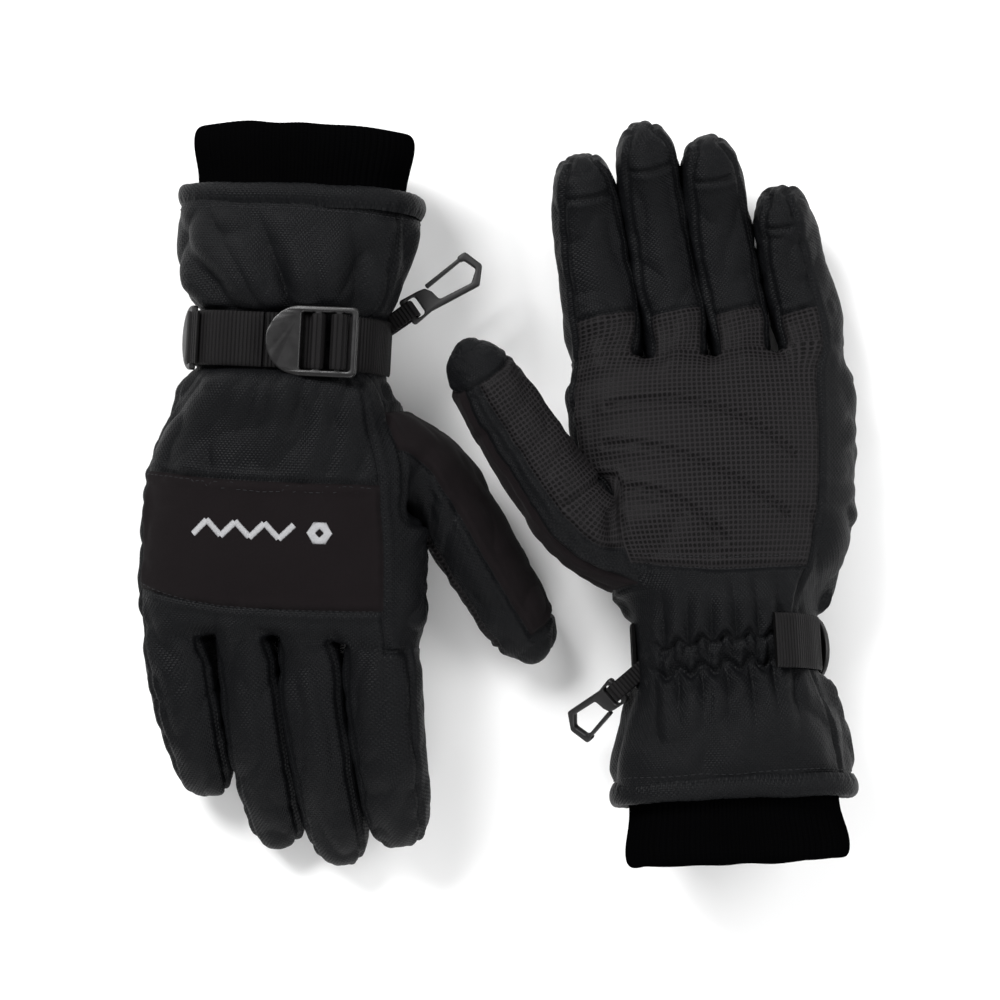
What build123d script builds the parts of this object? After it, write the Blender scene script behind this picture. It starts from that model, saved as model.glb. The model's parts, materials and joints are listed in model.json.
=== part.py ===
"""A pair of insulated winter work gloves with knit storm cuffs, wrist straps and snap hooks.

Each glove is drawn once, in its own glove frame: +X to the thumb, +Y from the wrist to the
fingertips, +Z out of the back of the hand, with Y = 0 on the wrist elastic. That is a left glove.
The left glove is turned palm up, the right glove is the mirror image laid palm down.
"""
from build123d import *
import os
from math import cos, radians, sin

os.makedirs("parts", exist_ok=True)

# ---- the hand: half sizes at distances along the glove ----
WRIST_WIDTH = 75.0
WRIST_HEIGHT = 48.0
HEM_WIDTH = 95.0
HEM_HEIGHT = 58.0
PALM_WIDTH = 108.0
PALM_HEIGHT = 40.0
CORNER_SHARE = 0.70  # corner radius as a share of the half height

STRAP_WIDTH = 22.0
STRAP_CENTRE = 9.0  # along the glove, from the elastic
STRAP_MARGIN = 2.0  # straight wrist each side of the strap

HEM_END = -55.0
HEM_DEPTH = 9.0
KNIT_REACH = 24.0  # knit cuff past the hem
KNIT_SEAM = -38.0
FINGER_HINGE = 139.0
PATCH_START = 44.0
BAND_START = 64.0
BAND_WIDTH = 50.0
SIDE_STRIP = 6.0
SIDE_STRIP_WRAP = 15.0  # the little side strip reaches this far over the palm, the index one over the back
SEAM_TILT = 24.0  # the back and palm halves part on a plane tilted to the little finger's palm side

# ---- the layers, from the outside in ----
SHELL = 1.6
PADDING = 2.8
INSERT = 0.4
LINING = 0.8
LAYER_GAP = 0.08
HEM_PROUD = 1.4
KNIT_THICK = 3.0
ELASTIC_THICK = 0.8
ELASTIC_WIDTH = 7.0

EMBLEM_PROUD = 0.5
EMBLEM_GAP = 0.05
EMBLEM_STEP = 6.0
EMBLEM_PEAKS = 8
EMBLEM_LINE = 2.2
EMBLEM_START = -32.0

# ---- the fingers: name, place across, curved length, curl, and size against the middle one ----
FINGER_WIDTH = 25.6
FINGER_HEIGHT = 26.0
FINGER_PITCH = 27.0
FINGER_WALL = 3.2
FINGER_LEAN = 9.0  # towards the thumb, degrees
FINGER_DROP = -3.0  # finger roots below the middle of the glove
FINGERS = {
    "index_finger": (1.5, 66.0, 34.0, 1.0),
    "middle_finger": (0.5, 79.0, 38.0, 1.0),
    "ring_finger": (-0.5, 73.0, 38.0, 0.97),
    "little_finger": (-1.5, 49.0, 34.0, 0.93),
}
TIP_TAPER = 0.84
HINGE_GAP = 0.6  # between the hand's end and a finger's round root

THUMB_ROOT = (42.0, 34.0, -10.0)
THUMB_REACH = (54.0, 90.0, -24.0)  # root to the middle of the tip
THUMB_WIDTH = 31.0
THUMB_HEIGHT = 31.0
THUMB_CURL = 14.0
THUMB_HINGE = 58.0  # along the thumb from its root
THUMB_GAP = 0.8

# ---- webbing, buckle, pull tab, hook ----
WEBBING = 1.4
WEB_GAP = 0.3
LOCK_THICK = 3.2
LOCK_SIDE = 3.0  # frame past the webbing on each side
LOCK_WIDTH = STRAP_WIDTH + 2 * LOCK_SIDE
LOCK_TIP = -4.0
LIP_LENGTH = 13.0
RAIL = 2.5
BAR_RADIUS = 1.2
MIDDLE_BAR = 20.5  # from the lip's tip
ANCHOR_BAR = 29.0
LOCK_LENGTH = 36.5
TAB_BEND = 58.0  # the buckle tab follows the wrist's corner this far round
TAIL_HINGE = -6.5
TAIL_ARC = 52.0
TAB_LENGTH = 9.0
TAB_THICK = 2.4
TAB_SLOT = 2.6
HOOK_LENGTH = 37.0
HOOK_THICK = 3.0
HOOK_EYE_WIDTH = 12.0
HOOK_END_WIDTH = 15.0
HOOK_ARM = 2.8
GATE_THICK = 1.7
GATE_GAP = 0.5
HOOK_ANGLE = 38.0  # back towards the hem
HOOK_ROOT_BELOW = -8.0
LOOP_REACH = 11.0
LOOP_WIDTH = 7.0

# ---- how the two gloves lie: position of the glove frame, then roll, pitch and yaw ----
RIGHT_LIES = ((-80.6, 71.1, 35.14), -9.19, -0.54, -3.06)
LEFT_LIES = ((95.5, -70.7, 34.78), 0.0, -8.42, 2.5)
LEFT_HOOK_SWING = 50.0  # each hook droops from its stiff loop towards the table
RIGHT_HOOK_SWING = -8.0

strap_start = STRAP_CENTRE - STRAP_WIDTH / 2
strap_end = STRAP_CENTRE + STRAP_WIDTH / 2
hem_top = HEM_END + HEM_DEPTH
knit_end = HEM_END - KNIT_REACH
band_end = BAND_START + BAND_WIDTH
root_reach = FINGER_HEIGHT / 2 + FINGER_WIDTH / 2 * sin(radians(FINGER_LEAN))
hand_end = FINGER_HINGE - root_reach - HINGE_GAP
wrist_top = WRIST_HEIGHT / 2

# distance along, half width, half height, middle across, middle up
STATIONS = [
    (knit_end, HEM_WIDTH / 2, HEM_HEIGHT / 2, 0, 0),
    (hem_top, HEM_WIDTH / 2, HEM_HEIGHT / 2, 0, 0),
    (-30, HEM_WIDTH / 2 - 1, HEM_HEIGHT / 2 - 1, 0, 0),
    (strap_start - STRAP_MARGIN, WRIST_WIDTH / 2, wrist_top, 0, 0),
    (strap_end + STRAP_MARGIN, WRIST_WIDTH / 2, wrist_top, 0, 0),
    (PATCH_START, PALM_WIDTH / 2 - 6, PALM_HEIGHT / 2 + 3, 1, 0),
    (BAND_START + 8, PALM_WIDTH / 2 - 1.5, PALM_HEIGHT / 2 + 1, 0, -1),
    (band_end, PALM_WIDTH / 2, PALM_HEIGHT / 2, 0, -2),
    (FINGER_HINGE, PALM_WIDTH / 2, PALM_HEIGHT / 2 - 2, 0, -3),
]
FAR = 200.0


def hand_size(along):
    """Half width, half height and middle of the hand's cross-section at a distance along it."""
    for low, high in zip(STATIONS, STATIONS[1:]):
        if along <= high[0]:
            share = (along - low[0]) / (high[0] - low[0])
            return [a + share * (b - a) for a, b in zip(low[1:], high[1:])]
    return list(STATIONS[-1][1:])


def spans(start, end):
    """The distances where a form from start to end needs a cross-section."""
    return [start, *[s[0] for s in STATIONS if start + 0.1 < s[0] < end - 0.1], end]


def hand_form(start, end, inset):
    """The hand's solid form between two distances, taken in by an inset."""
    with BuildPart() as form:
        for along in spans(start, end):
            half_width, half_height, across, up = hand_size(along)
            with BuildSketch(Plane.XZ.offset(-along)):
                with Locations((across, up)):
                    RectangleRounded(
                        2 * (half_width - inset),
                        2 * (half_height - inset),
                        CORNER_SHARE * half_height - inset,
                    )
        loft(ruled=True)
    return form.part


def middle_form(start, end):
    """The slab between the two side strips, used to part the side panels from the back and palm."""
    with BuildPart() as form:
        for along in spans(start, end):
            half_width, half_height, across, up = hand_size(along)
            with BuildSketch(Plane.XZ.offset(-along)):
                with BuildLine():
                    Polyline(
                        (across - half_width + SIDE_STRIP_WRAP, up - half_height - 2),
                        (across + half_width - SIDE_STRIP, up - half_height - 2),
                        (across + half_width - SIDE_STRIP_WRAP, up + half_height + 2),
                        (across - half_width + SIDE_STRIP, up + half_height + 2),
                        close=True,
                    )
                make_face()
        loft(ruled=True)
    return form.part


def layer(start, end, outer, inner, keep=None):
    """A sleeve of the hand between two insets, kept where a form says."""
    with BuildPart() as sleeve:
        add(hand_form(start, end, outer))
        add(hand_form(start, end, inner), mode=Mode.SUBTRACT)
        for form in keep or []:
            add(form, mode=Mode.INTERSECT)
    return sleeve.part


with BuildPart() as back_side:
    with Locations(Location((0, 0, 0), (0, -SEAM_TILT, 0)) * Location((0, 0, FAR / 2))):
        Box(2 * FAR, 4 * FAR, FAR)

with BuildPart() as upper_half:
    with Locations((0, 0, FAR / 2)):
        Box(2 * FAR, 4 * FAR, FAR)

with BuildPart() as lower_half:
    with Locations((0, 0, -FAR / 2)):
        Box(2 * FAR, 4 * FAR, FAR)

with BuildPart() as palm_side:
    with Locations(Location((0, 0, 0), (0, -SEAM_TILT, 0)) * Location((0, 0, -FAR / 2))):
        Box(2 * FAR, 4 * FAR, FAR)


# ---- digits ----
def digit_frame(root, reach):
    """A digit's straight direction, its own up direction, and the hinge axis that curls it."""
    forward = Vector(reach).normalized()
    up = (Vector(0, 0, 1) - forward * forward.Z).normalized()
    return Vector(root), forward, up, up.cross(forward)


def digit_plane(frame, distance, length, curl):
    """The cross-section plane at a distance along a digit that curls evenly over its length."""
    root, forward, up, axis = frame
    if distance <= 0 or curl == 0:
        angle, ahead, down = 0.0, distance, 0.0
    else:
        radius = length / radians(curl)
        angle = distance / radius
        ahead, down = radius * sin(angle), radius * (1 - cos(angle))
    tangent = forward * cos(angle) - up * sin(angle)
    centre = root + forward * ahead - up * down
    return Plane(origin=tuple(centre), x_dir=tuple(axis), z_dir=tuple(tangent))


def digit_form(frame, start, length, curl, width, height, inset, taper=TIP_TAPER):
    """A digit's solid form with a rounded tip, from a distance before its hinge to its end."""
    round_off = width * taper / 2
    steps = [(start, 1.0), (0.001, 1.0), (length * 0.35, 0.97), (length * 0.7, 0.92)]
    steps += [(length, taper)]
    steps += [(length + round_off * sin(radians(a)), taper * cos(radians(a))) for a in (35, 65)]
    with BuildPart() as form:
        for distance, size in steps:
            distance = min(distance, length + round_off - inset)
            with BuildSketch(digit_plane(frame, distance, length, curl)):
                inner_width, inner_height = width * size - 2 * inset, height * size - 2 * inset
                corner_radius = 0.40 * min(width, height) * size - inset * 0.9
                corner_radius = max(corner_radius, 0.1 * min(inner_width, inner_height))
                RectangleRounded(inner_width, inner_height, corner_radius)
        loft(ruled=True)
    return form.part


def digit_back(frame, start, length, curl, size):
    """The half of a digit's space on its back side, following its curl."""
    with BuildPart() as form:
        for distance in (start - 1, 0.001, length * 0.35, length * 0.7, length, length + size):
            plane = digit_plane(frame, distance, length, curl)
            with BuildSketch(plane):
                with Locations((0, -size)):
                    Rectangle(3 * size, 2 * size)
        loft(ruled=True)
    return form.part


def round_root(frame, height, width):
    """What is cut from a digit's root so that it turns about its hinge without touching the hand."""
    root, forward, up, axis = frame
    with BuildPart() as cut:
        with BuildSketch(Plane(origin=tuple(root), x_dir=tuple(forward), z_dir=tuple(axis))):
            with Locations((-height, 0)):
                Rectangle(2 * height, 3 * height)
            Circle(height / 2, mode=Mode.SUBTRACT)
        extrude(amount=width, both=True)
    return cut.part


def digit(frame, length, curl, width, height):
    """A digit's two padded shells, the back one and the palm one, open at the root."""
    start = -height / 2
    with BuildPart() as tube:
        add(digit_form(frame, start, length, curl, width, height, 0))
        add(
            digit_form(frame, start, length, curl, width, height, FINGER_WALL),
            mode=Mode.SUBTRACT,
        )
        add(round_root(frame, height, width), mode=Mode.SUBTRACT)
    with BuildPart() as back:
        add(tube.part)
        add(digit_back(frame, start, length, curl, width), mode=Mode.INTERSECT)
    with BuildPart() as palm:
        add(tube.part)
        add(digit_back(frame, start, length, curl, width), mode=Mode.SUBTRACT)
    return Compound([back.part.solid(), palm.part.solid()])


def finger_frame(place):
    """The frame of a finger whose root lies so many pitches from the middle of the hand."""
    root = (place * FINGER_PITCH, FINGER_HINGE, FINGER_DROP)
    return digit_frame(root, (sin(radians(FINGER_LEAN)), cos(radians(FINGER_LEAN)), 0))


thumb_line = digit_frame(THUMB_ROOT, THUMB_REACH)
thumb_root = thumb_line[0] + thumb_line[1] * THUMB_HINGE
thumb_frame = digit_frame(tuple(thumb_root), THUMB_REACH)
thumb_length = Vector(THUMB_REACH).length - THUMB_HINGE


def thumb_gusset_form(inset):
    """The thumb's fixed root, a tapering sleeve from inside the palm to the thumb's hinge."""
    end = THUMB_HINGE - THUMB_HEIGHT / 2 - THUMB_GAP
    with BuildPart() as form:
        for distance, size in ((4.0, 1.12), (end, 1.0)):
            with BuildSketch(digit_plane(thumb_line, distance, 1, 0)):
                RectangleRounded(
                    THUMB_WIDTH * size - 2 * inset,
                    THUMB_HEIGHT * size - 2 * inset,
                    0.40 * THUMB_HEIGHT * size - inset * 0.9,
                )
        loft(ruled=True)
    return form.part


# ---- the hand's panels and layers ----
thumb_hole = thumb_gusset_form(0)
insert_inset = SHELL + PADDING + 2 * LAYER_GAP
lining_inset = insert_inset + INSERT + LAYER_GAP
hand_inside = lining_inset + LINING
glove = {}

glove["gauntlet_back"] = layer(hem_top, STRAP_CENTRE, 0, SHELL, [back_side.part])
for name, start, end, half in (
    ("hand_back", STRAP_CENTRE, BAND_START, back_side.part),
    ("knuckle_band", BAND_START, band_end, upper_half.part),
    ("knuckle_panel", band_end, hand_end, upper_half.part),
):
    glove[name] = layer(start, end, 0, SHELL, [half, middle_form(start, end)])

with BuildPart() as palm_heel:
    add(layer(hem_top, PATCH_START, 0, SHELL, [palm_side.part]))
    add(thumb_hole, mode=Mode.SUBTRACT)
glove["palm_heel"] = palm_heel.part

with BuildPart() as palm_patch:
    keep = [lower_half.part, middle_form(PATCH_START, hand_end)]
    add(layer(PATCH_START, hand_end, 0, SHELL, keep))
    add(thumb_hole, mode=Mode.SUBTRACT)
glove["palm_patch"] = palm_patch.part

for name, side in (("index_side_panel", 1), ("little_side_panel", -1)):
    with BuildPart() as side_panel:
        add(layer(STRAP_CENTRE, PATCH_START, 0, SHELL, [back_side.part]))
        add(layer(PATCH_START, hand_end, 0, SHELL))
        add(middle_form(STRAP_CENTRE, hand_end), mode=Mode.SUBTRACT)
        with Locations((side * FAR / 2, 0, 0)):
            Box(FAR, 4 * FAR, FAR, mode=Mode.INTERSECT)
        add(thumb_hole, mode=Mode.SUBTRACT)
    glove[name] = side_panel.part

with BuildPart() as thumb_gusset:
    add(thumb_gusset_form(0))
    add(thumb_gusset_form(FINGER_WALL), mode=Mode.SUBTRACT)
    add(hand_form(hem_top, hand_end, SHELL), mode=Mode.SUBTRACT)
glove["thumb_gusset"] = thumb_gusset.part.solids().sort_by(SortBy.VOLUME)[-1]

with BuildPart() as elastic:
    start, end = -ELASTIC_WIDTH / 2, ELASTIC_WIDTH / 2
    add(layer(start, end, SHELL + LAYER_GAP, SHELL + ELASTIC_THICK, [palm_side.part]))
glove["wrist_elastic"] = elastic.part

with BuildPart() as insulation:
    add(layer(hem_top, hand_end, SHELL + LAYER_GAP, SHELL + PADDING))
    start, end = -ELASTIC_WIDTH / 2 - LAYER_GAP, ELASTIC_WIDTH / 2 + LAYER_GAP
    add(layer(start, end, 0, SHELL + ELASTIC_THICK + LAYER_GAP), mode=Mode.SUBTRACT)
    add(thumb_gusset_form(0), mode=Mode.SUBTRACT)
glove["insulation"] = insulation.part

with BuildPart() as waterproof_insert:
    add(layer(KNIT_SEAM + LAYER_GAP, hand_end, insert_inset, insert_inset + INSERT))
    add(thumb_gusset_form(0), mode=Mode.SUBTRACT)
glove["waterproof_insert"] = waterproof_insert.part

with BuildPart() as lining:
    add(layer(KNIT_SEAM + LAYER_GAP, hand_end, lining_inset, lining_inset + LINING))
    add(thumb_gusset_form(0), mode=Mode.SUBTRACT)
glove["lining"] = lining.part

# the embroidered motif stands a little proud of the band
with BuildPart() as emblem:
    add(layer(BAND_START, band_end, -EMBLEM_PROUD - EMBLEM_GAP, -EMBLEM_GAP))
    with BuildPart(mode=Mode.INTERSECT):
        with BuildSketch():
            with BuildLine():
                zigzag_middle = BAND_START + 0.42 * BAND_WIDTH
                Polyline(
                    *[
                        (EMBLEM_START + i * EMBLEM_STEP, zigzag_middle + (-1) ** i * EMBLEM_STEP / 2)
                        for i in range(EMBLEM_PEAKS)
                    ]
                )
            trace(line_width=EMBLEM_LINE)
            with Locations((EMBLEM_START + (EMBLEM_PEAKS + 0.7) * EMBLEM_STEP, zigzag_middle)):
                RegularPolygon(EMBLEM_STEP * 0.8, 6)
        extrude(amount=FAR)
glove["emblem"] = emblem.part

glove["hem"] = layer(HEM_END, hem_top, -HEM_PROUD, insert_inset)

with BuildPart() as knit_cuff:
    for wall, mode in ((0, Mode.ADD), (KNIT_THICK, Mode.SUBTRACT)):
        with BuildPart(mode=Mode.PRIVATE) as sleeve:
            knit_inset = insert_inset + 0.3
            for along, inset in (
                (knit_end, knit_inset),
                (knit_end + 4, knit_inset - 1.6),
                (HEM_END - 6, knit_inset - 1.0),
                (HEM_END - 1, knit_inset),
                (KNIT_SEAM, knit_inset),
            ):
                half_width, half_height, across, up = hand_size(max(along, HEM_END))
                with BuildSketch(Plane.XZ.offset(-along)):
                    RectangleRounded(
                        2 * (half_width - inset - wall),
                        2 * (half_height - inset - wall),
                        CORNER_SHARE * half_height - inset - wall,
                    )
            loft(ruled=True)
        add(sleeve.part, mode=mode)
glove["knit_cuff"] = knit_cuff.part

# ---- webbing: drawn as its path across the wrist, then given its thickness and width ----
half_wrist = WRIST_WIDTH / 2
corner = CORNER_SHARE * wrist_top
webbing_plane = Plane.XZ.offset(-strap_start)
tab_webbing_end = -1.0
tail_lift = 2 * WEB_GAP + WEBBING
lock_base = wrist_top + tail_lift + WEBBING + WEB_GAP
bar_height = lock_base + LOCK_THICK / 2
middle_bar = LOCK_TIP + MIDDLE_BAR
anchor_bar = LOCK_TIP + ANCHOR_BAR
lock_end = LOCK_TIP + LOCK_LENGTH
ring = BAR_RADIUS + WEB_GAP + WEBBING / 2


def around_wrist(side, offset, start_up, end_across):
    """A path from the glove's side at a height, round its corner and over its back."""
    r = corner + offset
    x, z = side * (half_wrist - corner), wrist_top - corner
    Line((side * (half_wrist + offset), start_up), (side * (half_wrist + offset), z))
    edge = CenterArc((x, z), r, 0 if side > 0 else 180, 90 if side > 0 else -90)
    Line(edge @ 1, (end_across, wrist_top + offset))


with BuildPart() as wrist_strap:
    with BuildSketch(webbing_plane):
        with BuildLine():
            around_wrist(-1, WEB_GAP + WEBBING / 2, -6, middle_bar + 1)
        trace(line_width=WEBBING)
    extrude(amount=-STRAP_WIDTH)
glove["wrist_strap"] = wrist_strap.part

with BuildPart() as strap_loop:
    with BuildSketch(webbing_plane):
        with BuildLine():
            low = wrist_top + tail_lift + WEBBING / 2
            FilletPolyline(
                (TAIL_HINGE + 1.0, low),
                (middle_bar - ring, low),
                (middle_bar - ring, bar_height + ring),
                (middle_bar + ring, bar_height + ring),
                (middle_bar + ring, low),
                radius=1.4,
            )
        trace(line_width=WEBBING)
    extrude(amount=-STRAP_WIDTH)
glove["strap_loop"] = strap_loop.part

with BuildPart() as buckle_tab:
    with BuildSketch(webbing_plane):
        with BuildLine():
            out = WEB_GAP + WEBBING / 2
            side = Line((half_wrist + out, tab_webbing_end), (half_wrist + out, wrist_top - corner))
            bend = CenterArc((half_wrist - corner, wrist_top - corner), corner + out, 0, TAB_BEND)
            FilletPolyline(
                bend @ 1,
                (anchor_bar + ring + 0.6, bar_height - 3),
                (anchor_bar + ring, bar_height + ring),
                (anchor_bar - ring, bar_height + ring),
                (anchor_bar - ring, bar_height - ring),
                (anchor_bar + ring - 0.8, bar_height - ring),
                radius=1.4,
            )
        trace(line_width=WEBBING)
    extrude(amount=-STRAP_WIDTH)
glove["buckle_tab"] = buckle_tab.part

tail_offset = tail_lift + WEBBING / 2
tail_centre = (-(half_wrist - corner), wrist_top - corner)
tail_radius = corner + tail_offset
with BuildPart() as strap_tail:
    with BuildSketch(webbing_plane):
        with BuildLine():
            over = Line((TAIL_HINGE, wrist_top + tail_offset), (tail_centre[0], wrist_top + tail_offset))
            CenterArc(tail_centre, tail_radius, 90, TAIL_ARC)
        trace(line_width=WEBBING)
    extrude(amount=-STRAP_WIDTH)
glove["strap_tail"] = strap_tail.part

# ---- the ladder lock ----
lock_plane = Plane(origin=(LOCK_TIP, STRAP_CENTRE, lock_base), x_dir=(1, 0, 0), z_dir=(0, 0, 1))
with BuildPart() as ladder_lock:
    with BuildSketch(lock_plane):
        with Locations((LIP_LENGTH, 0)):
            Ellipse(LIP_LENGTH, LOCK_WIDTH / 2)
        with Locations(((LIP_LENGTH + LOCK_LENGTH) / 2, 0)):
            Rectangle(LOCK_LENGTH - LIP_LENGTH, LOCK_WIDTH)
        with Locations((LOCK_LENGTH + LIP_LENGTH, 0)):
            Rectangle(2 * LIP_LENGTH, LOCK_WIDTH, mode=Mode.SUBTRACT)
        with Locations(((LIP_LENGTH + LOCK_LENGTH - RAIL) / 2, 0)):
            Rectangle(LOCK_LENGTH - RAIL - LIP_LENGTH, STRAP_WIDTH + 1.2, mode=Mode.SUBTRACT)
    extrude(amount=LOCK_THICK)
    with Locations(*[(b, STRAP_CENTRE, bar_height) for b in (middle_bar, anchor_bar)]):
        Cylinder(BAR_RADIUS, LOCK_WIDTH - RAIL, rotation=(90, 0, 0))
    chamfer(ladder_lock.faces().sort_by(Axis.Z)[-1].outer_wire().edges(), 0.7)
glove["ladder_lock"] = ladder_lock.part

# ---- the pull tab on the tail's end ----
tab_angle = 90 + TAIL_ARC
tab_out = Vector(cos(radians(tab_angle)), 0, sin(radians(tab_angle)))
tab_along = Vector(-sin(radians(tab_angle)), 0, cos(radians(tab_angle)))
tab_hinge = Vector(tail_centre[0], STRAP_CENTRE, tail_centre[1])
tab_hinge = tab_hinge + tab_out * (tail_radius + WEB_GAP * 2)
tab_hinge = tab_hinge + tab_along * (WEB_GAP + TAB_SLOT / 2)
tab_plane = Plane(origin=tuple(tab_hinge), x_dir=tuple(tab_along), z_dir=tuple(tab_out))
with BuildPart() as pull_tab:
    with BuildSketch(tab_plane.offset(-TAB_THICK / 2)):
        with Locations((TAB_SLOT / 2 - WEB_GAP / 2, 0)):
            Ellipse(TAB_LENGTH - TAB_SLOT / 2, STRAP_WIDTH / 2 + 2)
        with Locations((-TAB_LENGTH / 2, 0)):
            Rectangle(TAB_LENGTH, 2 * STRAP_WIDTH, mode=Mode.SUBTRACT)
        with Locations((TAB_SLOT / 2 + 1.2, 0)):
            SlotOverall(STRAP_WIDTH - 2, TAB_SLOT, rotation=90, mode=Mode.SUBTRACT)
    extrude(amount=TAB_THICK)
glove["pull_tab"] = pull_tab.part

# ---- the snap hook, its gate and its loop ----
hook_along = Vector(cos(radians(HOOK_ANGLE)), -sin(radians(HOOK_ANGLE)), 0)
hook_across = Vector(sin(radians(HOOK_ANGLE)), cos(radians(HOOK_ANGLE)), 0)
loop_root = Vector(half_wrist - 1.0, 0, HOOK_ROOT_BELOW)
eye = loop_root + hook_along * LOOP_REACH
hook_plane = Plane(origin=tuple(eye), x_dir=tuple(hook_along), z_dir=(0, 0, 1))
eye_bar = 1.3
loop_room = 0.7  # so the eye's bar can turn inside its loop
window_near, window_far = 15.5, HOOK_LENGTH - 9.0
gate_root = (13.0, -HOOK_EYE_WIDTH / 2 + 1.9)
gate_tip = (HOOK_LENGTH - 8.0, -HOOK_END_WIDTH / 2 + GATE_THICK / 2 + 0.4)

with BuildPart() as snap_hook:
    with BuildSketch(hook_plane.offset(-HOOK_THICK / 2)):
        with BuildLine():
            FilletPolyline(
                (-eye_bar, -HOOK_EYE_WIDTH / 2),
                (-eye_bar, HOOK_EYE_WIDTH / 2),
                (8, HOOK_EYE_WIDTH / 2 - 1),
                (HOOK_LENGTH - 7, HOOK_END_WIDTH / 2),
                (HOOK_LENGTH - eye_bar, 1),
                (HOOK_LENGTH - 4, -HOOK_END_WIDTH / 2),
                (HOOK_LENGTH - 10, -HOOK_END_WIDTH / 2),
                (8, -HOOK_EYE_WIDTH / 2 + 1),
                radius=1.6,
                close=True,
            )
        make_face()
        with Locations((3.4, 0)):
            SlotOverall(HOOK_EYE_WIDTH - 2 * 1.6, 4.4, rotation=90, mode=Mode.SUBTRACT)
        with BuildLine():
            FilletPolyline(
                (window_near - 2, -HOOK_EYE_WIDTH / 2 + HOOK_ARM + 1),
                (window_near - 2, HOOK_EYE_WIDTH / 2 - HOOK_ARM - 0.6),
                (window_far, HOOK_END_WIDTH / 2 - HOOK_ARM),
                (HOOK_LENGTH - HOOK_ARM - 1.6, 1),
                (HOOK_LENGTH - HOOK_ARM - 3, -HOOK_END_WIDTH / 2 + HOOK_ARM),
                (window_far, -HOOK_END_WIDTH / 2 + HOOK_ARM + 0.2),
                radius=1.3,
                close=True,
            )
        make_face(mode=Mode.SUBTRACT)
        with BuildLine():
            Polyline(
                (gate_root[0] - 0.6, gate_root[1] + GATE_THICK / 2 + GATE_GAP),
                (gate_tip[0] + GATE_GAP, gate_tip[1] + 3.4),
                (gate_tip[0] + GATE_GAP, -HOOK_END_WIDTH),
                (gate_root[0] - 0.6, -HOOK_END_WIDTH),
                close=True,
            )
        make_face(mode=Mode.SUBTRACT)
    extrude(amount=HOOK_THICK)
glove["snap_hook"] = snap_hook.part.solids().sort_by(SortBy.VOLUME)[-1]

with BuildPart() as hook_gate:
    with BuildSketch(hook_plane.offset(-HOOK_THICK / 2 + 0.2)):
        with BuildLine():
            Line(gate_root, gate_tip)
        trace(line_width=GATE_THICK)
    extrude(amount=HOOK_THICK - 0.4)
glove["hook_gate"] = hook_gate.part

with BuildPart() as hook_loop:
    with BuildSketch(Plane(origin=tuple(eye), x_dir=tuple(hook_along), z_dir=tuple(-hook_across))):
        with BuildLine():
            loop_ring = HOOK_THICK / 2 + loop_room + WEBBING / 2
            loop_end = eye_bar + loop_room + 0.2 + WEBBING / 2
            FilletPolyline(
                (-LOOP_REACH - 1.5, loop_ring - 0.9),
                (-loop_end, loop_ring),
                (loop_end, loop_ring),
                (loop_end, -loop_ring),
                (-loop_end, -loop_ring),
                (-LOOP_REACH - 1.5, -loop_ring + 0.9),
                radius=0.9,
            )
        trace(line_width=WEBBING)
    extrude(amount=LOOP_WIDTH / 2, both=True)
    add(hand_form(hem_top, PATCH_START, -0.15), mode=Mode.SUBTRACT)
glove["hook_loop"] = hook_loop.part

# ---- the digits ----
digit_frames = {}
for name, (place, length, curl, size) in FINGERS.items():
    digit_frames[name] = finger_frame(place)
    width, height = FINGER_WIDTH * size, FINGER_HEIGHT * size
    glove[name] = digit(digit_frames[name], length, curl, width, height)
digit_frames["thumb"] = thumb_frame
glove["thumb"] = digit(thumb_frame, thumb_length, THUMB_CURL, THUMB_WIDTH, THUMB_HEIGHT)


# ---- the two gloves in the object's frame ----
def lying(lies):
    """A glove's placement from its position, roll, pitch and yaw."""
    position, roll, pitch, yaw = lies
    turned = Location((0, 0, 0), (0, 0, yaw)) * Location((0, 0, 0), (pitch, 0, 0))
    return Location(position) * turned * Location((0, 0, 0), (0, roll, 0))


palm_up = Location((0, 0, 0), (0, 180, 0))
places = {"right": lying(RIGHT_LIES), "left": lying(LEFT_LIES) * palm_up}
hook_axis = Axis(tuple(eye), tuple(hook_across))
swings = {"right": RIGHT_HOOK_SWING, "left": LEFT_HOOK_SWING}

mirrored = {"right": True, "left": False}
pieces = {}
for name, shape in glove.items():
    lying_shapes = {hand: shape for hand in swings}
    if name in ("snap_hook", "hook_gate"):
        lying_shapes = {hand: shape.rotate(hook_axis, -swings[hand]) for hand in swings}
    pieces["right_" + name] = places["right"] * mirror(lying_shapes["right"], about=Plane.XZ)
    pieces["left_" + name] = places["left"] * lying_shapes["left"]

boxes = [piece.bounding_box() for piece in pieces.values()]
middles = [(min(b.min.X for b in boxes) + max(b.max.X for b in boxes)) / 2]
middles += [(min(b.min.Y for b in boxes) + max(b.max.Y for b in boxes)) / 2]
to_origin = Location((-middles[0], -middles[1], -min(b.min.Z for b in boxes)))
for name, piece in pieces.items():
    placed = to_origin * piece
    placed.label = name
    export_step(placed, f"parts/{name}.step")
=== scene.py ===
"""The soft and hard pieces of a pair of insulated work gloves, dressed over their CAD frame."""

import json
import math
import random

import bmesh
import bpy
import numpy as np
from bpy.props import FloatProperty, FloatVectorProperty, PointerProperty
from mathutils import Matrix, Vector, kdtree
from mathutils import noise as mathutils_noise
from mathutils.bvhtree import BVHTree


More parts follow.
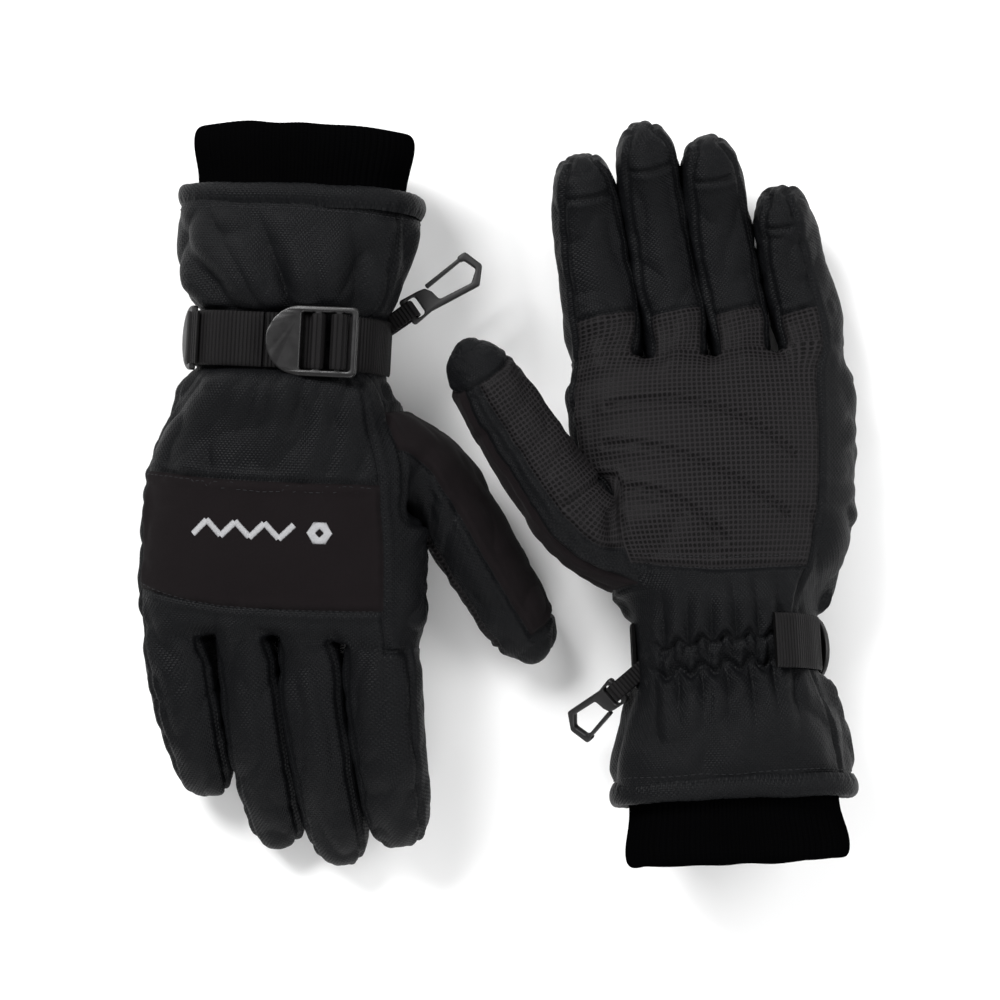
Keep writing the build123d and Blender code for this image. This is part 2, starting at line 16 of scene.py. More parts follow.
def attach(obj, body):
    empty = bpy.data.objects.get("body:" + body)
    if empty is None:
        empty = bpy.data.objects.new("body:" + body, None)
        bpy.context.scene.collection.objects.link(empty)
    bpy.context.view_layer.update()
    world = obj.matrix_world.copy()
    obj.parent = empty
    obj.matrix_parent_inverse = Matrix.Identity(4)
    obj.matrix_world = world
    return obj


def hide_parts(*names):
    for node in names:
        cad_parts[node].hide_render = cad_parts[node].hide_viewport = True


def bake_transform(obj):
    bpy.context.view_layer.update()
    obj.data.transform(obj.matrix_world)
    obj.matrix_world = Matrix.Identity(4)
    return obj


bl_info = {
    "name": "Work glove pair",
    "version": (1, 0, 0),
    "blender": (4, 5, 0),
    "location": "3D View > Sidebar > Gloves",
    "description": "Builds a pair of insulated work gloves piece by piece over a packed CAD frame",
    "category": "Mesh",
}

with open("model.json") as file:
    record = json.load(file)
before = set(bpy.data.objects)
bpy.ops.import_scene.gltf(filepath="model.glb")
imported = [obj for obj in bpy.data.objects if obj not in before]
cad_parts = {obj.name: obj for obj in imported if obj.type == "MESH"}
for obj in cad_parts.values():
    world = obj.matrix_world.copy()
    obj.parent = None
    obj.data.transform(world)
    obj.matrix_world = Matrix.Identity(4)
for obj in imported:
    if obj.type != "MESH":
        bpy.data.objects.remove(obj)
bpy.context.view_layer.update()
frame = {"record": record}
SEED = 7
rng = np.random.default_rng(SEED)
HANDS = ("right", "left")
MM = 0.001

# The glove frame, in millimetres: X to the thumb, Y to the fingertips, Z out of the back.
FINGER_NAMES = ("little_finger", "ring_finger", "middle_finger", "index_finger")
PITCH = 27.0
HINGE = 139.0
DROP = -3.0
LEAN = math.radians(9.0)
FINGER_LENGTH = (49.0, 73.0, 79.0, 66.0)
FINGER_CURL = (34.0, 38.0, 38.0, 34.0)
FINGER_SIZE = (0.93, 0.97, 1.0, 1.0)
THUMB_ROOT = np.array((42.0, 34.0, -10.0))
THUMB_REACH = np.array((54.0, 90.0, -24.0))
THUMB_HINGE = 58.0
THUMB_CURL = 14.0
WEB = 132.0  # where the fingers part
STRAP_CENTRE = 9.0
STRAP_WIDTH = 22.0


# ---------------------------------------------------------------- placing in the row frame
def unit(v):
    v = np.asarray(v, float)
    return v / np.linalg.norm(v)


def digit_axes(reach):
    """Forward, up and across (towards the thumb side) of a digit."""
    forward = unit(reach)
    up = unit(np.array((0, 0, 1.0)) - forward * forward[2])
    return forward, up, np.cross(forward, up)


FINGER_FORWARD = (math.sin(LEAN), math.cos(LEAN), 0)


def finger_root(i):
    return np.array(((i - 1.5) * PITCH, HINGE, DROP))


def hinge_points():
    """The glove-frame places of the digits' hinges, by joint name."""
    points = {}
    for i, name in enumerate(FINGER_NAMES):
        points[name + "_flex"] = finger_root(i)
    points["thumb_flex"] = THUMB_ROOT + unit(THUMB_REACH) * THUMB_HINGE
    return points


def fit_placement(hand):
    """The rigid move, mirrored for the right glove, from the glove frame to the row frame."""
    joints = {j["name"]: j for j in frame["record"]["behaviour"]["joints"]}
    local, world = [], []
    for name, point in hinge_points().items():
        local.append(point)
        world.append(joints[f"{hand}_{name}"]["pos_m"])
    local, world = np.array(local, float), np.array(world, float) / MM
    lc, wc = local.mean(0), world.mean(0)
    u, _, vt = np.linalg.svd((world - wc).T @ (local - lc))
    flip = np.diag((1, 1, (1 if hand == "left" else -1) * np.sign(np.linalg.det(u @ vt))))
    turn = u @ flip @ vt
    return turn, wc - turn @ lc


PLACE = {hand: fit_placement(hand) for hand in HANDS}


def placed(hand, points):
    """Glove-frame millimetres to row-frame metres."""
    turn, shift = PLACE[hand]
    return (np.asarray(points, float) @ turn.T + shift) * MM


# ---------------------------------------------------------------- the control cage
ROWS = (-49, -41, -32, -23, -15, -8, -2, 4, 9, 14, 20, 26, 33, 41, 49, 57, 64, 72, 80, 89, 98,
        106, 114, 121, 127, WEB)
HAND_STATIONS = (
    # along, half width, height over, height under, middle
    (-56, 48.0, 29.5, 29.5, 0.0),
    (-40, 48.5, 30.5, 30.0, 0.0),
    (-22, 45.0, 29.5, 28.0, 0.0),
    (-8, 39.0, 26.0, 25.0, 0.0),
    (0, 37.6, 24.3, 24.0, 0.0),
    (18, 37.6, 24.3, 24.0, 0.0),
    (30, 42.5, 26.0, 23.5, 0.0),
    (44, 48.5, 26.5, 23.5, -0.5),
    (64, 53.0, 25.5, 22.5, -0.8),
    (90, 55.5, 23.0, 20.5, -1.5),
    (114, 55.5, 20.5, 18.8, -2.2),
    (WEB, 54.0, 16.5, 15.5, -3.0),
)
ACROSS = (-9.6, -3.5, 3.5, 9.6)
COLUMNS = [(i - 1.5) * PITCH + a for i in range(4) for a in ACROSS]
LAST = len(COLUMNS) - 1
RING = 2 * len(COLUMNS) + 2
SIDE_INDEX = len(COLUMNS)  # ring slot of the index side middle
SIDE_LITTLE = RING - 1
ROUND = 2.7  # how boxy the sections are: 2 is an ellipse
SHEAR = 0.13  # how far the side seams lean, per unit of height
LAYOUT_HALF = 54.0  # half width that the columns are laid out on
SWELL_INDEX = 9.0  # how far the padding pushes the outer sides of the hand out
SWELL_LITTLE = 7.0
THUMB_HOLE_ROWS = (ROWS.index(33), ROWS.index(80))
THUMB_HOLE_SLOTS = (LAST, LAST + 4)
PATCH_ROW = ROWS.index(41)
BAND_ROWS = (ROWS.index(64), ROWS.index(114))
BACK_ROW = ROWS.index(9)


def lerp_table(table, x):
    xs = [row[0] for row in table]
    return [np.interp(x, xs, [row[k] for row in table]) for k in range(1, len(table[0]))]


def smooth(x, low, high):
    t = np.clip((x - low) / (high - low), 0, 1)
    return t * t * (3 - 2 * t)


def ring_slot(side, column):
    """The ring's slot of a back or palm column. The ring runs over the back from the little side."""
    return column if side == "back" else RING - 2 - column


def row_shift(row, side, across):
    """How far a seam row bows along the glove at a share across it, -1 little side to 1 index side."""
    if side == "back":
        if row == BAND_ROWS[0]:
            return 2.5 * (1 - across * across) - 4.5 * max(-across - 0.4, 0)
        if row == BAND_ROWS[1]:
            return 4.0 * (1 - across * across) - 8.0 * max(-across - 0.3, 0) + 1.0
        return 0.0
    if row == PATCH_ROW:
        return 10.0 * max(across, 0) ** 1.5 - 3.0
    return 0.0


def hand_ring(row):
    along = ROWS[row]
    half, over, under, middle = lerp_table(HAND_STATIONS, along)
    strip = 1 - smooth(along, WEB - 14, WEB)
    points = np.zeros((RING, 3))
    for column, across in enumerate(COLUMNS):
        for side, height in (("back", over), ("palm", -under)):
            x = across
            if side == "palm" and column in (1, 2):
                x += strip * (6.5, 3.2)[column - 1]
            if side == "back" and column == LAST - 1:
                x -= strip * 3.0
            x = x / LAYOUT_HALF
            w = height * (1 - abs(x) ** ROUND) ** (1 / ROUND)
            y = along + row_shift(row, side, x)
            points[ring_slot(side, column)] = (x * half - SHEAR * w, y, w + middle)
    points[SIDE_INDEX] = (half, along, middle)
    points[SIDE_LITTLE] = (-half, along, middle)
    share = points[:, 0] / half
    swell = np.where(share > 0, SWELL_INDEX, -SWELL_LITTLE) * np.abs(share) ** 2.2
    points[:, 0] += swell * smooth(along, 22, 62)
    return points


def digit_point(root, axes, length, curl, distance, x, y):
    forward, up, across = axes
    if distance <= 0:
        centre, lift = root + forward * distance, up
    else:
        radius = length / math.radians(curl)
        angle = distance / radius
        centre = root + forward * radius * math.sin(angle) - up * radius * (1 - math.cos(angle))
        lift = up * math.cos(angle) + forward * math.sin(angle)
    return centre + across * x + lift * y


FINGER_RING = (
    (-0.74, 0.74), (-0.28, 1.0), (0.28, 1.0), (0.74, 0.74), (1.0, 0.0),
    (0.74, -0.74), (0.28, -1.0), (-0.28, -1.0), (-0.74, -0.74), (-1.0, 0.0),
)
FINGER_STEPS = 9
TIP_ROUND = ((0.45, 0.90), (0.80, 0.66), (1.0, 0.36))  # reach and size of the rings that round the tip
FINGER_HALF_WIDTH = 15.0
FINGER_HALF_HEIGHT = 14.9
FINGER_START = 3.0  # the first ring's distance past the hinge
TAPER = ((0, 0.3, 0.65, 1), (1.0, 0.985, 0.96, 0.9))  # share of the length, size there
CROTCH_SIDE = 11.6  # the crotch between two fingers, from a finger's middle
CROTCH_BACK = 5.0
SWELL_FADE = 0.75  # share of the outer swelling gone at the fingertip
KNUCKLE_AT = 0.42
KNUCKLE_SWELL = 0.05
KNUCKLE_REACH = 6
FINGER_UV = 8.0


class Cage:
    """Vertices, faces, and each face's panel, row distance and fabric coordinates."""

    def __init__(self):
        self.verts, self.faces, self.panel, self.uv = [], [], [], []

    def add(self, point):
        self.verts.append(tuple(point))
        return len(self.verts) - 1

    def face(self, corners, panel, uv):
        self.faces.append(tuple(corners))
        self.panel.append(panel)
        self.uv.append(tuple(uv))


PANELS = []


def panel_id(name):
    if name not in PANELS:
        PANELS.append(name)
    return PANELS.index(name)


def hand_panel(row, slot):
    """The panel of the hand quad after a row and a ring slot."""
    if row < BACK_ROW:
        return "palm_heel" if LAST <= slot <= RING - 3 else "gauntlet_back"
    index_strip = slot in (LAST - 1, LAST, LAST + 1)
    little_strip = slot in (RING - 1, RING - 2, RING - 3)
    if slot >= LAST and not little_strip and row < PATCH_ROW:
        return "palm_heel"
    if index_strip:
        return "index_side_panel"
    if little_strip:
        return "little_side_panel"
    if slot >= LAST:
        return "palm_patch"
    if row < BAND_ROWS[0]:
        return "hand_back"
    return "knuckle_band" if row < BAND_ROWS[1] else "knuckle_panel"


def build_cage():
    cage = Cage()
    rings = []
    for row in range(len(ROWS)):
        rings.append([cage.add(p) for p in hand_ring(row)])
    girth = [0.0]
    reference = hand_ring(BAND_ROWS[1])
    for slot in range(RING):
        girth.append(girth[-1] + np.linalg.norm(reference[(slot + 1) % RING] - reference[slot]))
    for row in range(len(ROWS) - 1):
        in_hole_row = THUMB_HOLE_ROWS[0] <= row < THUMB_HOLE_ROWS[1]
        for slot in range(RING):
            if in_hole_row and THUMB_HOLE_SLOTS[0] <= slot < THUMB_HOLE_SLOTS[1]:
                continue
            following = (slot + 1) % RING
            corners = (rings[row][slot], rings[row][following],
                       rings[row + 1][following], rings[row + 1][slot])
            uv = ((girth[slot], ROWS[row]), (girth[slot + 1], ROWS[row]),
                  (girth[slot + 1], ROWS[row + 1]), (girth[slot], ROWS[row + 1]))
            cage.face(corners, panel_id(hand_panel(row, slot)), uv)
    build_fingers(cage, rings[-1])
    build_thumb(cage, rings)
    return cage


def build_fingers(cage, last_ring):
    middles = {}
    for i, name in enumerate(FINGER_NAMES):
        size, length, curl = FINGER_SIZE[i], FINGER_LENGTH[i], FINGER_CURL[i]
        root = finger_root(i)
        axes = digit_axes(FINGER_FORWARD)
        half_width, half_height = FINGER_HALF_WIDTH * size, FINGER_HALF_HEIGHT * size
        first = [last_ring[ring_slot("back", 4 * i + k)] for k in range(4)]
        palm = [last_ring[ring_slot("palm", 4 * i + k)] for k in (3, 2, 1, 0)]
        sides = []
        for side, slot in ((1, SIDE_INDEX), (-1, SIDE_LITTLE)):
            outer = (i == 3 and side == 1) or (i == 0 and side == -1)
            if outer:
                sides.append(last_ring[slot])
            else:
                middle = (root[0] + side * CROTCH_SIDE, WEB - CROTCH_BACK, DROP)
                sides.append(cage.add(middle))
                middles[(i, side)] = sides[-1]
        ring = first + [sides[0]] + palm + [sides[1]]
        distances = [FINGER_START + (length - FINGER_START) * k / (FINGER_STEPS - 1)
                     for k in range(FINGER_STEPS)]
        steps = [(d, float(np.interp(d / length, *TAPER))) for d in distances]
        tip_size = steps[-1][1]
        tip_reach = half_width * tip_size
        steps += [(length + tip_reach * a, tip_size * s) for a, s in TIP_ROUND]
        swell_index, swell_little = SWELL_INDEX * (i == 3), SWELL_LITTLE * (i == 0)
        previous_d = -(HINGE - WEB)
        for k, (d, s) in enumerate(steps):
            row = []
            fade = 1 - SWELL_FADE * min(d / length, 1)
            swell_here = KNUCKLE_SWELL * math.exp(-((d - length * KNUCKLE_AT) / KNUCKLE_REACH) ** 2)
            for x, y in FINGER_RING:
                x += (swell_index * max(x, 0) - swell_little * max(-x, 0)) * fade / half_width
                crook = 1 + swell_here * (y > 0.5)
                row.append(cage.add(digit_point(root, axes, length, curl, d,
                                                x * half_width * s, y * half_height * s * crook)))
            for slot in range(10):
                following = (slot + 1) % 10
                corners = (ring[slot], ring[following], row[following], row[slot])
                panel = finger_panel(name, i, slot, k, len(steps))
                u0, u1 = slot * FINGER_UV, (slot + 1) * FINGER_UV
                uv = ((u0, previous_d), (u1, previous_d), (u1, d), (u0, d))
                cage.face(corners, panel_id(panel), uv)
            ring, previous_d = row, d
        cap = panel_id(name + "_back")
        flat = {v: (2 * FINGER_UV + 0.5 * half_width * FINGER_RING[j][0],
                    previous_d + 4 - 4 * FINGER_RING[j][1])
                for j, v in enumerate(ring)}
        b0, b1, b2, b3, r, p3, p2, p1, p0, l = ring
        for corners in ((b0, b1, p1, p0), (b1, b2, p2, p1), (b2, b3, p3, p2),
                        (l, b0, p0), (b3, r, p3)):
            cage.face(corners, cap, [flat[c] for c in corners])
    for i in range(3):
        a, b = middles[(i, 1)], middles[(i + 1, -1)]
        back = (last_ring[ring_slot("back", 4 * i + 3)], last_ring[ring_slot("back", 4 * i + 4)])
        palm = (last_ring[ring_slot("palm", 4 * i + 3)], last_ring[ring_slot("palm", 4 * i + 4)])
        square = ((0, 0), (FINGER_UV, 0), (FINGER_UV, FINGER_UV), (0, FINGER_UV))
        cage.face((back[0], back[1], b, a), panel_id("knuckle_panel"), square)
        cage.face((a, b, palm[1], palm[0]), panel_id("palm_web"), square)


GRIP_STEPS = 2  # rings of grip cloth at a finger's root
TIP_SEAM_FROM_END = 3


def finger_panel(name, i, slot, step, steps):
    """Back, front, grip or side panel of a finger quad."""
    if slot in (0, 1, 2):
        return name + "_back"
    if slot in (5, 6, 7):
        if i == 0 and slot == 7:
            return name + "_outer"
        if step >= steps - TIP_SEAM_FROM_END:
            return name + "_back"
        return name + ("_grip" if step < GRIP_STEPS else "_front")
    if i == 3 and slot in (3, 4):
        return name + "_outer"
    if i == 0 and slot in (8, 9):
        return name + "_outer"
    return name + "_sides"


THUMB_RINGS = (
    # distance along the thumb, half across, half height
    (24, 21.5, 19.0), (33, 19.0, 18.0), (43, 17.0, 16.8), (52, 16.0, 16.2), (61, 15.8, 15.8),
    (70, 15.7, 15.6), (79, 15.4, 15.2), (88, 15.0, 14.6), (97, 14.4, 13.8), (105, 13.2, 12.6),
    (112, 10.8, 10.6), (117, 7.6, 7.4),
)
THUMB_TIP = 120.0
THUMB_ROUND = 2.4
THUMB_UV = 5.0
THUMB_ROOT_HOLD = (0.42, 0.12)  # how far the first rings keep to the hole they are sewn in


def thumb_panel(angle, k):
    """The thumb's panel at an angle round it (0 web side, 90 back, 180 outside, 270 palm side)."""
    if k >= len(THUMB_RINGS) - 2:
        return "thumb_back"
    if 112 <= angle < 236:
        return "thumb_softshell"
    if 262 <= angle < 345:
        return "thumb_grip_root" if k < 3 else "thumb_grip"
    if (angle >= 345 or angle < 40) and k >= 3:
        return "thumb_grip"
    if 236 <= angle < 262:
        return "thumb_front"
    return "thumb_back"


def build_thumb(cage, rings):
    r0, r1 = THUMB_HOLE_ROWS
    s0, s1 = THUMB_HOLE_SLOTS
    loop = [rings[r1][s] for s in range(s1, s0, -1)]
    loop += [rings[r][s0] for r in range(r1, r0, -1)]
    loop += [rings[r0][s] for s in range(s0, s1)]
    loop += [rings[r][s1] for r in range(r0, r1)]
    wide, tall = s1 - s0, r1 - r0
    angles = [-45 + 90 * k / wide for k in range(wide)] + [45 + 90 * k / tall for k in range(tall)]
    angles += [135 + 90 * k / wide for k in range(wide)] + [225 + 90 * k / tall for k in range(tall)]
    axes = digit_axes(THUMB_REACH)
    hinge = THUMB_ROOT + unit(THUMB_REACH) * THUMB_HINGE
    length = np.linalg.norm(THUMB_REACH) - THUMB_HINGE
    base = np.array([cage.verts[v] for v in loop])
    ring = loop
    count = len(loop)
    previous = 8.0
    for k, (distance, half_across, half_height) in enumerate(THUMB_RINGS):
        row = []
        hold = THUMB_ROOT_HOLD[k] if k < len(THUMB_ROOT_HOLD) else 0.0
        for j, angle in enumerate(angles):
            a = math.radians(angle)
            c, s = math.cos(a), math.sin(a)
            grow = (abs(c) ** THUMB_ROUND + abs(s) ** THUMB_ROUND) ** (-1 / THUMB_ROUND)
            point = digit_point(hinge, axes, length, THUMB_CURL, distance - THUMB_HINGE,
                                -c * grow * half_across, s * grow * half_height)
            row.append(cage.add(base[j] * hold + point * (1 - hold)))
        for j in range(count):
            following = (j + 1) % count
            middle = (angles[j] + 45.0 / wide) % 360
            panel = thumb_panel(middle, k)
            u0, u1 = j * THUMB_UV, (j + 1) * THUMB_UV
            uv = ((u0, previous), (u1, previous), (u1, distance), (u0, distance))
            cage.face((ring[j], ring[following], row[following], row[j]), panel_id(panel), uv)
        ring, previous = row, distance
    # the tip is closed by a grid of the ring's own columns
    grid = np.full((wide + 1, tall + 1), -1, int)
    for k in range(wide + 1):
        grid[k, 0] = ring[k]
        grid[wide - k, tall] = ring[(wide + tall + k) % count]
    for k in range(tall + 1):
        grid[wide, k] = ring[wide + k]
        grid[0, tall - k] = ring[(2 * wide + tall + k) % count]
    corners = np.array([[cage.verts[grid[0, 0]], cage.verts[grid[0, tall]]],
                        [cage.verts[grid[wide, 0]], cage.verts[grid[wide, tall]]]])
    tip = digit_point(hinge, axes, length, THUMB_CURL, THUMB_TIP - THUMB_HINGE, 0, 0)
    rim = np.array([cage.verts[v] for v in ring]).mean(0)
    for i in range(1, wide):
        for j in range(1, tall):
            s, t = i / wide, j / tall
            flat = ((1 - t) * np.array(cage.verts[grid[i, 0]]) + t * np.array(cage.verts[grid[i, tall]])
                    + (1 - s) * np.array(cage.verts[grid[0, j]]) + s * np.array(cage.verts[grid[wide, j]])
                    - (1 - s) * (1 - t) * corners[0, 0] - (1 - s) * t * corners[0, 1]
                    - s * (1 - t) * corners[1, 0] - s * t * corners[1, 1])
            bulge = 16 * s * (1 - s) * t * (1 - t)
            grid[i, j] = cage.add(flat + (tip - rim) * bulge)
    for i in range(wide):
        for j in range(tall):
            quad = (grid[i, j], grid[i + 1, j], grid[i + 1, j + 1], grid[i, j + 1])
            uv = [(a * THUMB_UV, b * THUMB_UV)
                  for a, b in ((i, j), (i + 1, j), (i + 1, j + 1), (i, j + 1))]
            cage.face(quad, panel_id("thumb_back"), uv)


# ---------------------------------------------------------------- from cage to sewn fabric
SIM_SCALE = 0.1  # the cloth is simulated in centimetres
QUILTED = 0.72  # share of the filling that the quilting holds back on the hand's broad panels
PALM_LINES = (
    # start, pull and end of each stitched curve on the palm
    ((44, 108), (2, 116), (-30, 84)),
    ((46, 92), (14, 92), (-26, 60)),
    ((44, 74), (18, 74), (0, 50)),
)
GATHER_PITCH = 9.5
ELASTIC_V = 5.0
ELASTIC_LEAN = 0.07
GATHER_HALF = 5.0
FREE_PIN, SEAM_PIN, STRAP_PIN, ELASTIC_PIN, MOUTH_PIN = 0.03, 0.30, 0.95, 0.98, 1.0
CALM_SLACK, THUMB_SLACK, PATCH_SLACK, BAND_SLACK, STRAP_SLACK = 0.25, 0.6, 0.12, 0.10, 0.62
START_ROUGHNESS = 0.35
DRAPE_FRAMES = 34
CLOTH_SETTINGS = {
    "quality": 7, "mass": 0.25,
    "tension_stiffness": 28, "compression_stiffness": 28, "shear_stiffness": 14,
    "bending_stiffness": 1.6,
    "tension_damping": 12, "compression_damping": 12, "shear_damping": 12, "bending_damping": 1.5,
    "air_damping": 4,
    "use_pressure": True, "uniform_pressure_force": 1.6, "use_pressure_volume": False,
    "vertex_group_mass": "pin", "pin_stiffness": 1.2,
    "shrink_min": 0.0, "shrink_max": -0.30, "vertex_group_shrink": "slack",
}


def cage_object(cage):
    mesh = bpy.data.meshes.new("cage")
    mesh.from_pydata([tuple(np.array(v) * SIM_SCALE) for v in cage.verts], [], cage.faces)
    layer = mesh.uv_layers.new(name="fabric")
    flat = [c for uv in cage.uv for c in uv]
    layer.data.foreach_set("uv", np.array(flat, np.float32).ravel())
    ids = mesh.attributes.new("panel", "INT", "FACE")
    ids.data.foreach_set("value", np.array(cage.panel, np.int32))
    obj = link("cage", mesh)
    work = bmesh.new()
    work.from_mesh(mesh)
    bmesh.ops.recalc_face_normals(work, faces=work.faces)
    work.to_mesh(mesh)
    work.free()
    return obj


def evaluated_copy(obj):
    graph = bpy.context.evaluated_depsgraph_get()
    return bpy.data.meshes.new_from_object(obj.evaluated_get(graph), depsgraph=graph)


def subdivide(obj, levels):
    modifier = obj.modifiers.new("subdivide", "SUBSURF")
    modifier.levels = modifier.render_levels = levels
    modifier.boundary_smooth = "PRESERVE_CORNERS"
    fine = evaluated_copy(obj)
    obj.modifiers.clear()
    swap_mesh(obj, fine)


def swap_mesh(obj, mesh):
    old = obj.data
    obj.data = mesh
    bpy.data.meshes.remove(old)


def mesh_points(mesh):
    points = np.zeros(len(mesh.vertices) * 3)
    mesh.vertices.foreach_get("co", points)
    return points.reshape(-1, 3)


def face_panels(mesh):
    ids = np.zeros(len(mesh.polygons), np.int32)
    mesh.attributes["panel"].data.foreach_get("value", ids)
    return ids


def edge_faces(mesh):
    """For each edge, the faces on it."""
    found = {}
    for polygon in mesh.polygons:
        for key in polygon.edge_keys:
            found.setdefault(key, []).append(polygon.index)
    return found


# panels that run on into each other with no seam between them
SEAMLESS = {"knuckle_panel": "back", "palm_web": "palm_patch", "index_side_panel": "index_outer",
            "little_side_panel": "little_outer", "index_finger_outer": "index_outer",
            "little_finger_outer": "little_outer"}


def cloth_of(panel_name):
    """The cut of cloth a panel belongs to; there is a seam only between different cuts."""
    if panel_name in SEAMLESS:
        return SEAMLESS[panel_name]
    if panel_name.endswith("_finger_back"):
        return "back"
    if panel_name.endswith("_grip") and panel_name != "thumb_grip":
        return "palm_patch"
    return panel_name


def seam_edges(mesh, panels):
    cuts = [cloth_of(name) for name in PANELS]
    order = {name: i for i, name in enumerate(sorted(set(cuts)))}
    cut = np.array([order[c] for c in cuts])[panels]
    edges = []
    for key, faces in edge_faces(mesh).items():
        if len(faces) == 2 and cut[faces[0]] != cut[faces[1]]:
            edges.append(key)
    return edges


def drape(obj):
    """Fills the sewn fabric with air and slackness, so that it puckers at its seams and elastic."""
    mesh = obj.data
    points = mesh_points(mesh) / SIM_SCALE
    panels = face_panels(mesh)
    pin = np.full(len(points), FREE_PIN)
    for a, b in seam_edges(mesh, panels):
        pin[a] = pin[b] = SEAM_PIN
    u, v, w = points.T
    on_hand = (np.abs(u) < 62) & (v < WEB)
    strap = on_hand & (np.abs(v - STRAP_CENTRE) < STRAP_WIDTH / 2 + 1) & (w > -14)
    pin[strap] = STRAP_PIN
    elastic = on_hand & (np.abs(v) < 4.2) & (w < -6) & (u > -32)
    pin[elastic] = ELASTIC_PIN
    pin[v < -46.5] = MOUTH_PIN
    slack = np.full(len(points), CALM_SLACK)
    near_elastic = np.exp(-(v / 17) ** 2) * (w < 4) * on_hand
    near_strap = np.exp(-((v - STRAP_CENTRE) / 24) ** 2) * (w > 0) * on_hand
    slack = np.maximum(slack, near_elastic)
    slack = np.maximum(slack, STRAP_SLACK * near_strap)
    thumb = (u > 62) | ((u > 50) & (v > 40) & (v < 120) & (w < -5))
    slack[thumb] = np.maximum(slack[thumb], THUMB_SLACK)
    patch = on_hand & (v > 50) & (w < -8) & (np.abs(u) < 50)
    slack[patch] = PATCH_SLACK
    band = on_hand & (v > 60) & (v < 116) & (w > 5)
    slack[band] = BAND_SLACK
    for name, values in (("pin", pin), ("slack", slack)):
        group = obj.vertex_groups.new(name=name)
        for i, value in enumerate(values):
            group.add((i,), float(value), "REPLACE")
    # a little unevenness starts the folds
    rough = points + START_ROUGHNESS * rng.standard_normal(points.shape) * slack[:, None]
    mesh.vertices.foreach_set("co", (rough * SIM_SCALE).ravel())
    cloth = obj.modifiers.new("cloth", "CLOTH")
    for name, value in CLOTH_SETTINGS.items():
        setattr(cloth.settings, name, value)
    cloth.settings.effector_weights.gravity = 0.0
    cloth.collision_settings.use_collision = False
    scene = bpy.context.scene
    scene.frame_start, scene.frame_end = 1, DRAPE_FRAMES
    cloth.point_cache.frame_start, cloth.point_cache.frame_end = 1, DRAPE_FRAMES
    for number in range(1, DRAPE_FRAMES + 1):
        scene.frame_set(number)
    settled = evaluated_copy(obj)
    # the broad panels of the hand are quilted through, so they fill out less than the digits
    flat = on_hand * smooth(v, 24, 44) * (1 - smooth(v, 118, 131))
    share = 1 - QUILTED * flat * np.where(w > 0, 1.0, 0.8)
    filled = points + (mesh_points(settled) / SIM_SCALE - points) * share[:, None]
    settled.vertices.foreach_set("co", (filled * SIM_SCALE).ravel())
    obj.modifiers.clear()
    obj.vertex_groups.clear()
    swap_mesh(obj, settled)
    scene.frame_set(1)


def vertex_normals(points, faces):
    """Area-weighted vertex normals of a mesh of quads and triangles."""
    normals = np.zeros_like(points)
    for size in (3, 4):
        chosen = np.array([f for f in faces if len(f) == size], int)
        if not len(chosen):
            continue
        p = points[chosen]
        if size == 4:
            across = np.cross(p[:, 2] - p[:, 0], p[:, 3] - p[:, 1])
        else:
            across = np.cross(p[:, 1] - p[:, 0], p[:, 2] - p[:, 0])
        for k in range(size):
            np.add.at(normals, chosen[:, k], across)
    length = np.linalg.norm(normals, axis=1)
    return normals / np.maximum(length, 1e-12)[:, None]


def nearest(points, targets):
    tree = kdtree.KDTree(len(targets))
    for i, t in enumerate(targets):
        tree.insert(t, i)
    tree.balance()
    return np.array([tree.find(p)[2] for p in points])


class Fabric:
    """The finished sewn surface of one glove, in the glove frame and millimetres."""

    points = faces = panels = uv = normals = starts = None


def ridge(phase):
    """A puffy fold profile: round tops and sharp creases, about -0.6 to 0.4."""
    return np.abs(np.sin(phase / 2)) ** 0.8 - 0.6


def hump(distance, reach):
    """Nothing at a line, most at the reach from it, fading beyond."""
    t = np.maximum(distance, 0) / reach
    return t * np.exp(1 - t)


def cloud(points, scale, seed):
    """Smooth random numbers over space, about -1 to 1, one scale per direction."""
    shifted = points / np.asarray(scale, float) + 37.7 * seed
    return np.array([mathutils_noise.noise(Vector(p)) for p in shifted]) * 1.6


